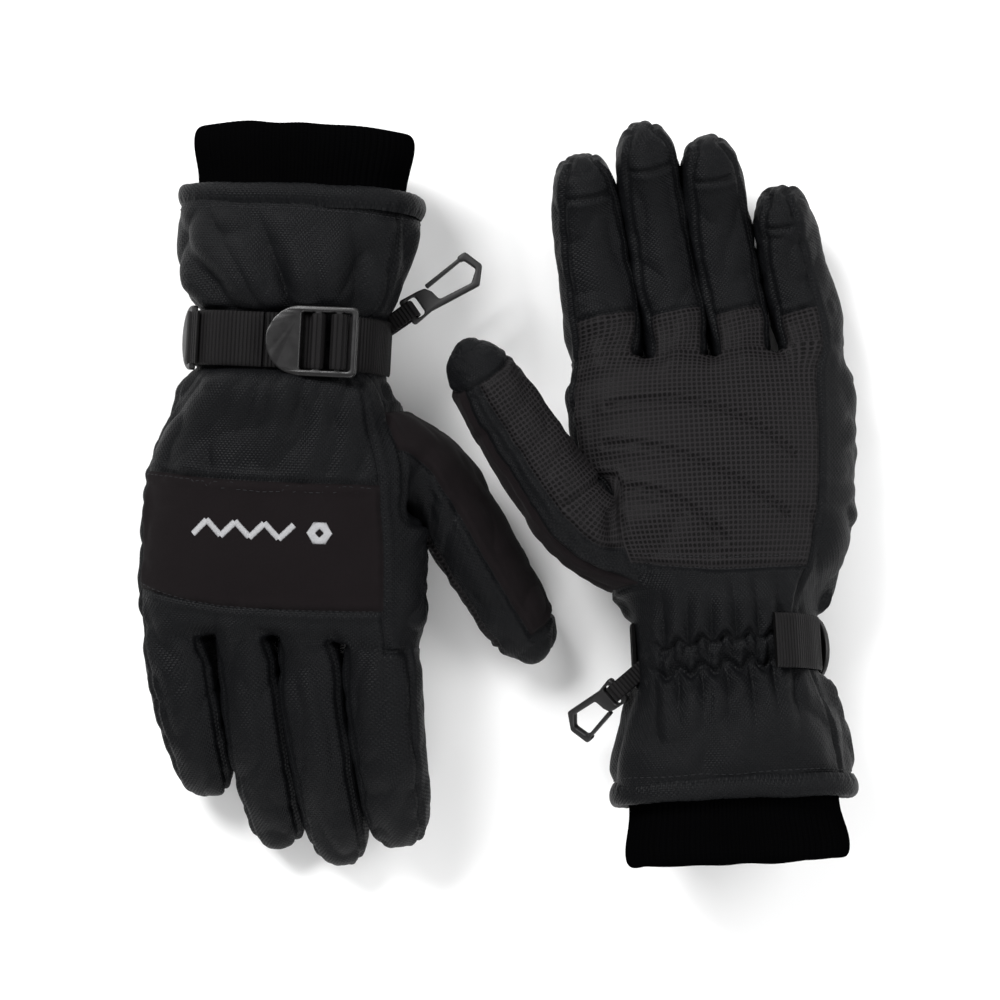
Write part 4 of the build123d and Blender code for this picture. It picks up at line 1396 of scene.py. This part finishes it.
# ---------------------------------------------------------------- cuffs
HEM_COLUMNS = 420
HEM_MIDDLE = -47  # the hem's section is the hand's own here
HEM_STITCHES_AT = 46.2
HEM_PROFILE = ((0.3, -44.4), (1.0, -45.6), (2.0, -47.6), (2.3, -50.2), (1.5, -52.8),
               (-0.4, -54.0), (-2.6, -53.0), (-3.6, -50.0), (-4.0, -45.0))  # outwards, along
KNIT_PROFILE = ((0.0, -46), (0.0, -54), (0.2, -58), (1.2, -63), (2.6, -69), (3.0, -74),
                (2.2, -77.6), (0.2, -79.0), (-2.2, -78.0), (-3.4, -74), (-3.6, -66),
                (-4.0, -54), (-4.6, -44))
KNIT_HALF, KNIT_HEIGHT = 42.2, 25.0
RIBS = 104
COLUMNS_PER_RIB = 6
LINING_COLUMNS, LINING_ROWS = 160, 70
LINING_DEPTH = 6.2  # the lining's face below the shell's


def ring_angles(columns):
    return np.linspace(0, 2 * math.pi, columns, endpoint=False)


def tube_ring(base, outward, lift, along, middle=0.0):
    """One ring of a tube: an (X, Z) outline moved outwards by a lift and set along the glove."""
    ring = np.zeros((len(base), 3))
    ring[:, 0] = base[:, 0] + outward[:, 0] * lift
    ring[:, 2] = base[:, 1] + outward[:, 1] * lift + middle
    ring[:, 1] = along
    return ring


def tube_object(hand, name, rings, along, girth, material):
    """A tube of rings along a hand, with fabric coordinates along it and over its girth."""
    rows, columns = len(rings), len(rings[0])
    uv = grid_uv(rows, columns, along, np.linspace(0, girth, columns + 1))
    mesh = glove_mesh(hand, name, np.concatenate(rings), grid_faces(rows, columns), None, uv)
    mesh.materials.append(material)
    return link(f"{hand}_{name}", mesh)


def spline_through(table, count):
    """A smooth curve through (x, y) places."""
    table = np.array(table, float)
    at = np.concatenate(([0], np.cumsum(np.linalg.norm(np.diff(table, axis=0), axis=1))))
    t = np.linspace(0, at[-1], count)
    out = np.stack([np.interp(t, at, table[:, k]) for k in range(2)], axis=1)
    for _ in range(6):
        out[1:-1] = (out[:-2] + 2 * out[1:-1] + out[2:]) / 4
    return out


def build_hem(hand):
    """The gauntlet's edge turned over and stitched down, puckered by the stitching."""
    angles = ring_angles(HEM_COLUMNS)
    half, over, under, middle = lerp_table(HAND_STATIONS, HEM_MIDDLE)
    base = section_points(angles, half, over, under)
    outward = unit_rows(base / np.array((half, (over + under) / 2)))
    profile = spline_through(HEM_PROFILE, 30)
    pucker = wobble(angles, (37, 53, 71, 88), 3)
    slow = wobble(angles, (2, 3, 5, 7, 11), 4)
    rings = []
    for r, v in profile:
        near_stitch = math.exp(-((v + HEM_STITCHES_AT) / 2.2) ** 2) * (r > -1)
        lift = r + 0.55 * slow * (r > -3) + 0.45 * pucker * near_stitch
        rings.append(tube_ring(base, outward, lift, v + 0.7 * slow + 0.25 * pucker, middle))
    obj = tube_object(hand, "hem_roll", rings, profile[:, 1] + profile[:, 0], 250, MATERIALS["twill"])
    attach(obj, f"{hand}_hand")
    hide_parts(f"{hand}_hem")


def unit_rows(rows):
    return rows / np.linalg.norm(rows, axis=1)[:, None]


def build_knit(hand):
    """The rib-knit storm cuff, doubled over at its mouth."""
    angles = ring_angles(RIBS * COLUMNS_PER_RIB)
    profile = spline_through(KNIT_PROFILE, 66)
    base = section_points(angles, KNIT_HALF, KNIT_HEIGHT, KNIT_HEIGHT, 2.5)
    outward = unit_rows(base / np.array((KNIT_HALF, KNIT_HEIGHT)))
    ribs = np.abs(np.cos(RIBS * angles / 2)) ** 0.7
    slow = wobble(angles, (2, 3, 5, 8), 9)
    folds = wobble(angles, (9, 13, 17), 10)
    rings = []
    for r, v in profile:
        stretch = smooth(np.array(-v), 54, 70)
        lift = r + 0.55 * (ribs - 0.7) + 0.7 * slow * stretch + 0.35 * folds * (1 - stretch)
        rings.append(tube_ring(base, outward, lift, v + 1.1 * slow * stretch))
    obj = tube_object(hand, "storm_cuff", rings, profile[:, 1] - 3 * profile[:, 0], 230, MATERIALS["knit"])
    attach(obj, f"{hand}_hand")
    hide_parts(f"{hand}_knit_cuff")


def build_lining(hand):
    """The soft inside of the hand, seen through the cuff."""
    angles = ring_angles(LINING_COLUMNS)
    distances = np.linspace(-44, 126, LINING_ROWS)
    rings = []
    slack = wobble(angles, (5, 8, 11, 14), 21)
    for v in distances:
        half, over, under, middle = lerp_table(HAND_STATIONS, v)
        base = section_points(angles, half - LINING_DEPTH, over - LINING_DEPTH, under - LINING_DEPTH)
        outward = unit_rows(base / np.array((half, over)))
        lift = 0.9 * slack * math.sin(v / 9.0) + 0.5 * wobble(angles + v / 40, (4, 7), 22)
        rings.append(tube_ring(base, outward, lift, v, middle))
    obj = tube_object(hand, "inner_lining", rings, distances, 220, MATERIALS["lining"])
    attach(obj, f"{hand}_hand")
    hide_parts(f"{hand}_lining", f"{hand}_insulation", f"{hand}_waterproof_insert")


# ---------------------------------------------------------------- webbing
WRIST_TOP = 24.0
HALF_WRIST = 37.5
CORNER = 0.70 * WRIST_TOP
LOCK_TIP = -4.0
LOCK_THICK = 3.2
LOCK_WIDTH = 28.0
LOCK_LENGTH = 36.5
LIP = 13.0
MIDDLE_BAR = LOCK_TIP + 20.5
ANCHOR_BAR = LOCK_TIP + 29.0
TAIL_OFFSET = 2.7
LOCK_BASE = 27.7
BAR_HEIGHT = LOCK_BASE + LOCK_THICK / 2
TAIL_HINGE = -6.5
TAIL_ARC = 52.0
LOOP_RING = 2.75  # radius of webbing wrapped round a bar
SQUARE_RING = 2.1  # half side of webbing laid square round the middle bar
TAB_RING = 2.05
STRAP_OFF_CLOTH = 0.95
THIN_WEB = 1.0
LOW, HIGH = STRAP_CENTRE - STRAP_WIDTH / 2, STRAP_CENTRE + STRAP_WIDTH / 2


def wrist_path(first, last, offset, step=2.0):
    """Places round the wrist at an offset from the taut cloth, by angle from the thumb side."""
    surface = STATE["surface"]
    turn = 1 if last > first else -1
    angles = np.radians(np.arange(first, last + turn * 0.1, turn * step))
    radii = []
    for a in angles:
        direction = np.array((math.cos(a), 0, math.sin(a)))
        found = []
        for v in (LOW + 2, STRAP_CENTRE, HIGH - 2):
            hit = surface.out_from((0, v, 0), direction)
            if hit is not None:
                found.append(math.hypot(hit[0], hit[2]))
        radii.append(max(found) if found else 30.0)
    radii = np.array(radii)
    for _ in range(8):
        radii[1:-1] = np.maximum(radii[1:-1], (radii[:-2] + radii[2:]) / 2)
        radii[1:-1] = (radii[:-2] + 2 * radii[1:-1] + radii[2:]) / 4
    return np.stack((np.cos(angles), np.sin(angles)), axis=1) * (radii + offset)[:, None]


def webbing_object(hand, name, path, low, high, body, nodes, thickness=WEBBING, axes=None):
    points, faces, uv = webbing(path, low, high, thickness)
    if axes is not None:
        points = in_frame(points, *axes)
    mesh = glove_mesh(hand, name, points, faces, None, uv)
    mesh.materials.append(MATERIALS["webbing"])
    obj = link(f"{hand}_{name}", mesh)
    sharp_by_angle(obj, 50)
    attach(obj, f"{hand}_{body}")
    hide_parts(*[f"{hand}_{n}" for n in nodes])
    return obj


def tail_frame():
    """The tail's far end: its hinge, the way it runs on, and the way out of the wrist."""
    angle = math.radians(90 + TAIL_ARC)
    out = np.array((math.cos(angle), 0, math.sin(angle)))
    along = np.array((-math.sin(angle), 0, math.cos(angle)))
    centre = np.array((-(HALF_WRIST - CORNER), STRAP_CENTRE, WRIST_TOP - CORNER))
    hinge = centre + out * (CORNER + TAIL_OFFSET + 0.6) + along * 1.6
    return hinge, along, out


def arc_places(centre, radius, degrees):
    return [centre + radius * np.array((math.cos(math.radians(t)), math.sin(math.radians(t))))
            for t in degrees]


def build_webbing(hand):
    path = wrist_path(238, 66, STRAP_OFF_CLOTH)
    path = np.concatenate((path, [(17.2, path[-1][1] + 0.1)]))
    webbing_object(hand, "strap_web", path, LOW, HIGH, "hand", ("wrist_strap",))
    low, top = WRIST_TOP + TAIL_OFFSET, BAR_HEIGHT + SQUARE_RING
    near, far = MIDDLE_BAR - SQUARE_RING, MIDDLE_BAR + SQUARE_RING
    loop = corner_path(((TAIL_HINGE + 0.8, low), (near, low), (near, top), (far, top), (far, low)), 1.6)
    webbing_object(hand, "bar_web", loop, LOW, HIGH, "buckle", ("strap_loop",))
    side = wrist_path(-14, 44, STRAP_OFF_CLOTH)
    tab = list(side) + arc_places(np.array((ANCHOR_BAR, BAR_HEIGHT)), LOOP_RING, range(-12, 312, 9))
    webbing_object(hand, "anchor_web", tab, LOW, HIGH, "hand", ("buckle_tab",))
    hinge, along, out = tail_frame()
    centre = np.array((-(HALF_WRIST - CORNER), WRIST_TOP - CORNER))
    arc = arc_places(centre, CORNER + TAIL_OFFSET, 90 + np.linspace(0, TAIL_ARC, 26))
    tail = [np.array((TAIL_HINGE - 0.1, low))] + arc
    tail += [np.array((hinge - along * 2.0 - out * 0.65)[[0, 2]])]
    webbing_object(hand, "tail_web", tail, LOW, HIGH, "tail", ("strap_tail",))
    turned_back = [np.array((hinge - along * d + out * h)[[0, 2]])
                   for d, h in ((1.4, 1.5), (3.5, 1.35), (6.5, 0.9))]
    webbing_object(hand, "tail_turn", turned_back, LOW + 0.4, HIGH - 0.4, "tail", ("strap_tail",), THIN_WEB)
    round_bar = [np.array((hinge + along * (TAB_RING * math.cos(t)) + out * (TAB_RING * math.sin(t)))[[0, 2]])
                 for t in np.radians(range(-165, 172, 12))]
    webbing_object(hand, "tab_web", round_bar, LOW + 0.6, HIGH - 0.6, "tab", ("pull_tab",), THIN_WEB)


# ---------------------------------------------------------------- hardware
def plate_object(hand, name, part, axes, kind, body, node):
    """A moulded plate set in place, in the buckle's or the hook's plastic."""
    points, faces = part
    mesh = glove_mesh(hand, name, in_frame(points, *axes), faces)
    mesh.materials.append(MATERIALS[kind])
    obj = link(f"{hand}_{name}", mesh)
    sharp_by_angle(obj, 40)
    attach(obj, f"{hand}_{body}")
    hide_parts(f"{hand}_{node}")


def box_outline(x0, x1, half, radius=1.0):
    return round_corners(((x0, -half), (x1, -half), (x1, half), (x0, half)), radius)


TAB_LENGTH = 8.1
TAB_HALF = STRAP_WIDTH / 2 + 2
FAR_CORNERS = slice(6, 18)  # the two far corners of a rounded box


def build_buckle(hand):
    half = LOCK_WIDTH / 2
    outline = [(LIP - LIP * math.cos(a), -half * math.sin(a))
               for a in np.linspace(math.pi / 2, -math.pi / 2, 31)]
    outline += round_corners(((LIP, half), (LOCK_LENGTH, half), (LOCK_LENGTH, -half), (LIP, -half)),
                             2.2)[FAR_CORNERS]
    inner = STRAP_WIDTH / 2 + 0.5
    holes = [box_outline(x0, x1, inner)
             for x0, x1 in ((LIP + 0.6, 19.2), (21.8, 27.8), (30.2, LOCK_LENGTH - 2.4))]

    def bend(x):
        lift = np.where(x < LIP, 2.4 * ((LIP - x) / LIP) ** 2, 0.0)
        return lift + np.where(x < LIP, 0.25 * np.cos(x * 2.2), 0.0) * (x < 8)

    axes = ((LOCK_TIP, STRAP_CENTRE, BAR_HEIGHT), (1, 0, 0), (0, 1, 0), (0, 0, 1))
    part = plate(fine_outline(outline), holes, LOCK_THICK, 0.75, bend)
    plate_object(hand, "ladder_lock_frame", part, axes, "buckle", "buckle", "ladder_lock")
    hinge, along, out = tail_frame()
    outline = [(0.9 + TAB_LENGTH * math.cos(a), TAB_HALF * math.sin(a))
               for a in np.linspace(-math.pi / 2, math.pi / 2, 33)]
    outline += round_corners(((0.9, TAB_HALF), (-0.9, TAB_HALF), (-0.9, -TAB_HALF), (0.9, -TAB_HALF)),
                             0.8)[FAR_CORNERS]
    part = plate(outline, [box_outline(1.2, 3.6, STRAP_WIDTH / 2 - 0.4, 0.9)], 2.6, 0.7)
    plate_object(hand, "half_moon_tab", part, (hinge, along, (0, 1, 0), out), "buckle", "tab", "pull_tab")


def fine_outline(outline):
    """Drops repeated places from an outline."""
    kept = []
    for p in outline:
        p = np.array(p, float)
        if not kept or np.linalg.norm(kept[-1] - p) > 0.05:
            kept.append(p)
    if np.linalg.norm(kept[0] - kept[-1]) < 0.05:
        kept.pop()
    return kept


HOOK_LENGTH = 37.0
HOOK_THICK = 3.0
HOOK_ANGLE = math.radians(38.0)
EYE_WIDTH = 12.0
END_WIDTH = 15.0
ARM = 2.8
LOOP_REACH = 11.0
HOOK_WEB_HALF = 3.5
HOOK_SWING = {"right": -8.0, "left": 50.0}


def hook_axes(hand):
    """The hook's eye and its own directions as it hangs: along, across and through it."""
    along = np.array((math.cos(HOOK_ANGLE), -math.sin(HOOK_ANGLE), 0))
    across = np.array((math.sin(HOOK_ANGLE), math.cos(HOOK_ANGLE), 0))
    eye = np.array((HALF_WRIST - 1.0, 0, -8.0)) + along * LOOP_REACH
    swing = math.radians(HOOK_SWING[hand])
    up = np.array((0, 0, 1.0))
    turned = along * math.cos(swing) + up * math.sin(swing)
    through = up * math.cos(swing) - along * math.sin(swing)
    return eye, turned, across, through, along


def build_hook(hand):
    eye, along, across, through, flat_along = hook_axes(hand)
    axes = (eye, along, across, through)
    eye_half, end_half, far = EYE_WIDTH / 2, END_WIDTH / 2, HOOK_LENGTH
    outline = round_corners(((-1.3, -eye_half), (-1.3, eye_half), (8, eye_half - 1),
                             (far - 7, end_half), (far - 1.3, 1), (far - 4, -end_half),
                             (far - 8.2, -end_half), (far - 8.6, -end_half + 2.4),
                             (far - 6.4, -end_half + 2.9), (far - ARM - 1.6, 1),
                             (far - 9.2, end_half - ARM), (13.4, eye_half - ARM - 0.4),
                             (12.6, -1.6), (10.8, -4.4), (8, -eye_half + 1)), 1.5)
    eye_hole = round_corners(((1.2, -4.3), (5.6, -4.3), (5.6, 4.3), (1.2, 4.3)), 1.4)
    part = plate(fine_outline(outline), [eye_hole], HOOK_THICK, 0.8)
    plate_object(hand, "hook_body", part, axes, "hook", "hook", "snap_hook")
    start, end = np.array((11.6, -4.6)), np.array((far - 7.6, -end_half + 1.5))
    line = unit(end - start)
    normal = np.array((-line[1], line[0]))
    outline = round_corners((start - normal * 0.9, end - normal * 0.75, end + line * 0.6,
                             end + normal * 0.75, start + normal * 0.9), 0.6)
    part = plate(fine_outline(outline), [], 2.6, 0.5)
    plate_object(hand, "hook_spring_arm", part, axes, "hook", "gate", "hook_gate")
    root, reach = -LOOP_REACH - 3.0, 2.9
    path = corner_path(((root, LOOP_RING - 1.6), (-reach, LOOP_RING), (reach, LOOP_RING),
                        (reach, -LOOP_RING), (-reach, -LOOP_RING), (root, -LOOP_RING + 1.6)), 1.3)
    webbing_object(hand, "hook_web", path, -HOOK_WEB_HALF, HOOK_WEB_HALF, "hand", ("hook_loop",), 1.2,
                   (eye, flat_along, across, (0, 0, 1)))


# ---------------------------------------------------------------- stitching and embroidery
THREAD = 0.2
HEM_STITCH_LINE = -43.0


def thread_object(hand, name, segments, material, body, radius, nodes=()):
    points, faces = capsules(segments, radius)
    uv = [tuple((0.3 * k, 0.3 * k) for k in range(len(f))) for f in faces]
    mesh = glove_mesh(hand, name, points, faces, None, uv)
    mesh.materials.append(material)
    obj = link(f"{hand}_{name}", mesh)
    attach(obj, f"{hand}_{body}")
    if nodes:
        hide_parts(*[f"{hand}_{n}" for n in nodes])
    return obj


def build_stitching(hand):
    surface = STATE["surface"]
    lines = [
        ("back", 0.25, LAST - 1.25, BAND_ROWS[0], 2.0), ("back", 0.25, LAST - 1.25, BAND_ROWS[1], -2.0),
        ("palm", 1.3, LAST - 2.4, PATCH_ROW, 2.0), ("palm", 1.3, LAST - 2.4, PATCH_ROW, 4.4),
    ]
    segments = []
    for side, first, last, row, along in lines:
        segments += stitch_segments(surface, cage_curve(side, first, last, row, along))
    thread_object(hand, "topstitching", segments, MATERIALS["thread"], "hand", THREAD)
    angles = np.linspace(0, 2 * math.pi, 260)
    half, over, under, _ = lerp_table(HAND_STATIONS, -43.2)
    ring = section_points(angles, half, over, under)
    hem = np.stack((ring[:, 0], np.full(len(ring), HEM_STITCH_LINE), ring[:, 1]), axis=1)
    thread_object(hand, "hem_stitching", stitch_segments(surface, hem, 3.0), MATERIALS["thread"],
                  "hand", THREAD)


EMBLEM_STEP = 6.0
EMBLEM_PEAKS = 8
EMBLEM_START = -32.0
EMBLEM_MIDDLE = 85.0
EMBLEM_LINE = 2.6
EMBLEM_THREADS = 0.34  # spacing of the satin threads
EMBLEM_HEIGHT = 24  # a place over the back to look down from
THREAD_RISE = 0.12


def build_embroidery(hand):
    """A satin-stitched zigzag and a filled hexagon, thread by thread."""
    surface = STATE["surface"]
    r = random.Random(SEED)
    corners = [np.array((EMBLEM_START + i * EMBLEM_STEP, EMBLEM_MIDDLE + (-1) ** i * EMBLEM_STEP / 2))
               for i in range(EMBLEM_PEAKS)]
    ends = []
    for a, b in zip(corners, corners[1:]):
        direction = unit(b - a)
        across = np.array((-direction[1], direction[0]))
        count = int(np.linalg.norm(b - a) / EMBLEM_THREADS)
        for k in range(count):
            middle = a + (b - a) * (k / count)
            half = EMBLEM_LINE / 2 * r.uniform(0.94, 1.06)
            ends.append((middle - across * half, middle + across * half))
    centre = np.array((EMBLEM_START + (EMBLEM_PEAKS + 0.7) * EMBLEM_STEP, EMBLEM_MIDDLE))
    radius = EMBLEM_STEP * 0.85
    for x in np.arange(-radius + 0.2, radius - 0.1, EMBLEM_THREADS):
        half = min(radius * 0.866, (radius - abs(x)) * 1.732)
        gap = 0.34 * radius - abs(x)
        if gap > 0:
            ends.append((centre + (x, gap), centre + (x, half)))
            ends.append((centre + (x, -half), centre + (x, -gap)))
        else:
            ends.append((centre + (x, -half), centre + (x, half)))
    segments = []
    for a, b in ends:
        pa, na = surface.near((a[0], a[1], EMBLEM_HEIGHT))
        pb, nb = surface.near((b[0], b[1], EMBLEM_HEIGHT))
        if np.linalg.norm(pb - pa) > 0.2:
            up = unit(na + nb)
            segments.append((pa + up * THREAD_RISE, pb + up * THREAD_RISE, up))
    obj = thread_object(hand, "embroidered_motif", segments, MATERIALS["embroidery"], "hand", THREAD,
                        ("emblem",))


# ---------------------------------------------------------------- stage
FLOOR_HALF = 4.0
FLOOR_Z = -0.0004
LIGHT_AIM = (0, 0, 0.03)
LIGHTS = (
    # name, place, share of the key light, width
    ("key", (-0.75, 0.95, 1.05), 1.0, 0.7),
    ("fill", (1.05, 0.25, 0.95), 0.4, 0.9),
    ("rim", (0.1, -1.2, 0.7), 0.35, 0.8),
)


def build_stage(settings):
    mesh = bpy.data.meshes.new("floor")
    corners = [(x * FLOOR_HALF, y * FLOOR_HALF, FLOOR_Z) for x, y in ((-1, -1), (1, -1), (1, 1), (-1, 1))]
    mesh.from_pydata(corners, [], [(0, 1, 2, 3)])
    material, tree, shader = material_base("floor", tuple(settings.floor), 0.85)
    place = tree.nodes.new("ShaderNodeTexCoord")
    shade(tree, shader, noise(tree, place.outputs["Object"], 3.0), tuple(settings.floor),
          tuple(min(1.0, c * 1.01) for c in settings.floor))
    mesh.materials.append(material)
    link("floor", mesh)
    world = bpy.data.worlds.new("studio")
    bpy.context.scene.world = world
    world.use_nodes = True
    background = world.node_tree.nodes["Background"]
    background.inputs["Color"].default_value = (1, 1, 1, 1)
    background.inputs["Strength"].default_value = settings.world_light
    bpy.context.scene.view_settings.view_transform = "Standard"
    for name, place, share, width in LIGHTS:
        light = bpy.data.lights.new(name, "AREA")
        light.energy, light.size = settings.key_light * share, width
        obj = link(name, light)
        obj.location = place
        obj.rotation_euler = (Vector(LIGHT_AIM) - obj.location).to_track_quat("-Z", "Y").to_euler()
    camera = bpy.data.cameras.new("camera")
    camera.lens = settings.lens
    camera.clip_start = 0.05
    obj = link("camera", camera)
    obj.location = (settings.aim_x * MM, settings.aim_y * MM, settings.camera_height)
    obj.rotation_euler = (0, 0, 0)
    bpy.context.scene.camera = obj


# ---------------------------------------------------------------- settings and operators
def colour_property(name, description, default):
    return FloatVectorProperty(name=name, description=description, default=default, subtype="COLOR",
                               size=3, min=0.0, max=1.0)


class GLOVES_PG_colours(bpy.types.PropertyGroup):
    """The colours and surface sizes a user would change."""

    twill: colour_property("Twill", "Coated nylon twill of the shell", (0.0017, 0.0018, 0.0021))
    softshell: colour_property("Softshell", "Knuckle band and outer thumb strip", (0.0048, 0.0036, 0.0040))
    grip: colour_property("Grip", "Palm and thumb grip cloth", (0.0125, 0.0114, 0.0122))
    knit: colour_property("Knit", "Rib-knit cuff", (0.0008, 0.0008, 0.0009))
    lining: colour_property("Lining", "Inside of the glove", (0.004, 0.004, 0.0045))
    webbing: colour_property("Webbing", "Straps and loops", (0.0045, 0.0042, 0.0044))
    thread: colour_property("Thread", "Topstitching", (0.008, 0.008, 0.009))
    embroidery: colour_property("Embroidery", "Motif on the knuckle band", (0.33, 0.33, 0.34))
    plastic: colour_property("Plastic", "Buckle, tab and hook", (0.0050, 0.0047, 0.0050))
    floor: colour_property("Floor", "The surface the gloves lie on", (0.93, 0.93, 0.93))
    weave_pitch: FloatProperty(name="Weave pitch", description="Yarn spacing of the twill, in millimetres",
                               default=0.9, min=0.2, max=3.0)
    rib_pitch: FloatProperty(name="Rib pitch", description="Spacing of the webbing's ribs, in millimetres",
                             default=1.6, min=0.5, max=5.0)
    dot_pitch: FloatProperty(name="Dot pitch", description="Spacing of the grip dots, in millimetres",
                             default=2.0, min=0.8, max=6.0)


class GLOVES_PG_stage(bpy.types.PropertyGroup):
    """The light and the camera."""

    camera_height: FloatProperty(name="Camera height", description="Height of the camera over the floor",
                                 default=1.2, min=0.4, max=5.0, unit="LENGTH")
    lens: FloatProperty(name="Lens", description="Focal length of the camera", default=102.7, min=20, max=300,
                        unit="CAMERA")
    aim_x: FloatProperty(name="Aim X", description="Camera place along X, in millimetres", default=0.0)
    aim_y: FloatProperty(name="Aim Y", description="Camera place along Y, in millimetres", default=-0.6)
    world_light: FloatProperty(name="World light", description="Strength of the even light",
                               default=0.34, min=0, max=5)
    key_light: FloatProperty(name="Key light", description="Power of the main soft light",
                             default=34.0, min=0, max=500, unit="POWER")


class GloveOperator:
    bl_options = {"REGISTER", "UNDO"}

    def per_hand(self, context, build):
        make_materials(context.scene.gloves_colours)
        for hand in HANDS:
            build(hand)
        return {"FINISHED"}


class GLOVES_OT_fabric(GloveOperator, bpy.types.Operator):
    """Sew, fill and cut the padded shell of both gloves"""

    bl_idname = "gloves.fabric"
    bl_label = "Padded shells"

    def execute(self, context):
        make_materials(context.scene.gloves_colours)
        build_fabric()
        return {"FINISHED"}


class GLOVES_OT_hems(GloveOperator, bpy.types.Operator):
    """Turn and stitch the hems"""

    bl_idname = "gloves.hems"
    bl_label = "Hems"

    def execute(self, context):
        return self.per_hand(context, build_hem)


class GLOVES_OT_knit_cuffs(GloveOperator, bpy.types.Operator):
    """Knit the ribbed storm cuffs"""

    bl_idname = "gloves.knit_cuffs"
    bl_label = "Knit cuffs"

    def execute(self, context):
        return self.per_hand(context, build_knit)


class GLOVES_OT_linings(GloveOperator, bpy.types.Operator):
    """Line the hands"""

    bl_idname = "gloves.linings"
    bl_label = "Linings"

    def execute(self, context):
        return self.per_hand(context, build_lining)


class GLOVES_OT_webbing(GloveOperator, bpy.types.Operator):
    """Weave the straps, tails and buckle tabs"""

    bl_idname = "gloves.webbing"
    bl_label = "Webbing"

    def execute(self, context):
        return self.per_hand(context, build_webbing)


class GLOVES_OT_buckles(GloveOperator, bpy.types.Operator):
    """Mould the ladder locks and pull tabs"""

    bl_idname = "gloves.buckles"
    bl_label = "Buckles and pull tabs"

    def execute(self, context):
        return self.per_hand(context, build_buckle)


class GLOVES_OT_hooks(GloveOperator, bpy.types.Operator):
    """Mould the snap hooks and sew their loops"""

    bl_idname = "gloves.hooks"
    bl_label = "Snap hooks"

    def execute(self, context):
        return self.per_hand(context, build_hook)


class GLOVES_OT_stitching(GloveOperator, bpy.types.Operator):
    """Run the topstitching"""

    bl_idname = "gloves.stitching"
    bl_label = "Topstitching"

    def execute(self, context):
        return self.per_hand(context, build_stitching)


class GLOVES_OT_embroidery(GloveOperator, bpy.types.Operator):
    """Embroider the motif on the knuckle bands"""

    bl_idname = "gloves.embroidery"
    bl_label = "Embroidery"

    def execute(self, context):
        return self.per_hand(context, build_embroidery)


class GLOVES_OT_stage(bpy.types.Operator):
    """Set the floor, the soft light and the camera"""

    bl_idname = "gloves.stage"
    bl_label = "Stage"

    def execute(self, context):
        build_stage(StageSettings(context.scene))
        return {"FINISHED"}


class StageSettings:
    """The stage's settings and the floor's colour together."""

    def __init__(self, scene):
        for name in ("camera_height", "lens", "aim_x", "aim_y", "world_light", "key_light"):
            setattr(self, name, getattr(scene.gloves_stage, name))
        self.floor = tuple(scene.gloves_colours.floor)


OPERATORS = (GLOVES_OT_fabric, GLOVES_OT_hems, GLOVES_OT_knit_cuffs, GLOVES_OT_linings, GLOVES_OT_webbing,
             GLOVES_OT_buckles, GLOVES_OT_hooks, GLOVES_OT_stitching, GLOVES_OT_embroidery, GLOVES_OT_stage)


class GLOVES_PT_panel(bpy.types.Panel):
    """Lists the pieces in the sidebar"""

    bl_idname = "GLOVES_PT_panel"
    bl_label = "Work gloves"
    bl_space_type = "VIEW_3D"
    bl_region_type = "UI"
    bl_category = "Gloves"

    def draw(self, context):
        for group in (context.scene.gloves_colours, context.scene.gloves_stage):
            for name in group.__annotations__:
                self.layout.prop(group, name)
        for operator in OPERATORS:
            self.layout.operator(operator.bl_idname)


CLASSES = (GLOVES_PG_colours, GLOVES_PG_stage, *OPERATORS, GLOVES_PT_panel)


def register():
    for cls in CLASSES:
        bpy.utils.register_class(cls)
    bpy.types.Scene.gloves_colours = PointerProperty(type=GLOVES_PG_colours)
    bpy.types.Scene.gloves_stage = PointerProperty(type=GLOVES_PG_stage)


def unregister():
    del bpy.types.Scene.gloves_stage
    del bpy.types.Scene.gloves_colours
    for cls in reversed(CLASSES):
        bpy.utils.unregister_class(cls)


def main():
    register()
    for operator in OPERATORS:
        group, name = operator.bl_idname.split(".")
        getattr(getattr(bpy.ops, group), name)()


if __name__ == "__main__":
    main()
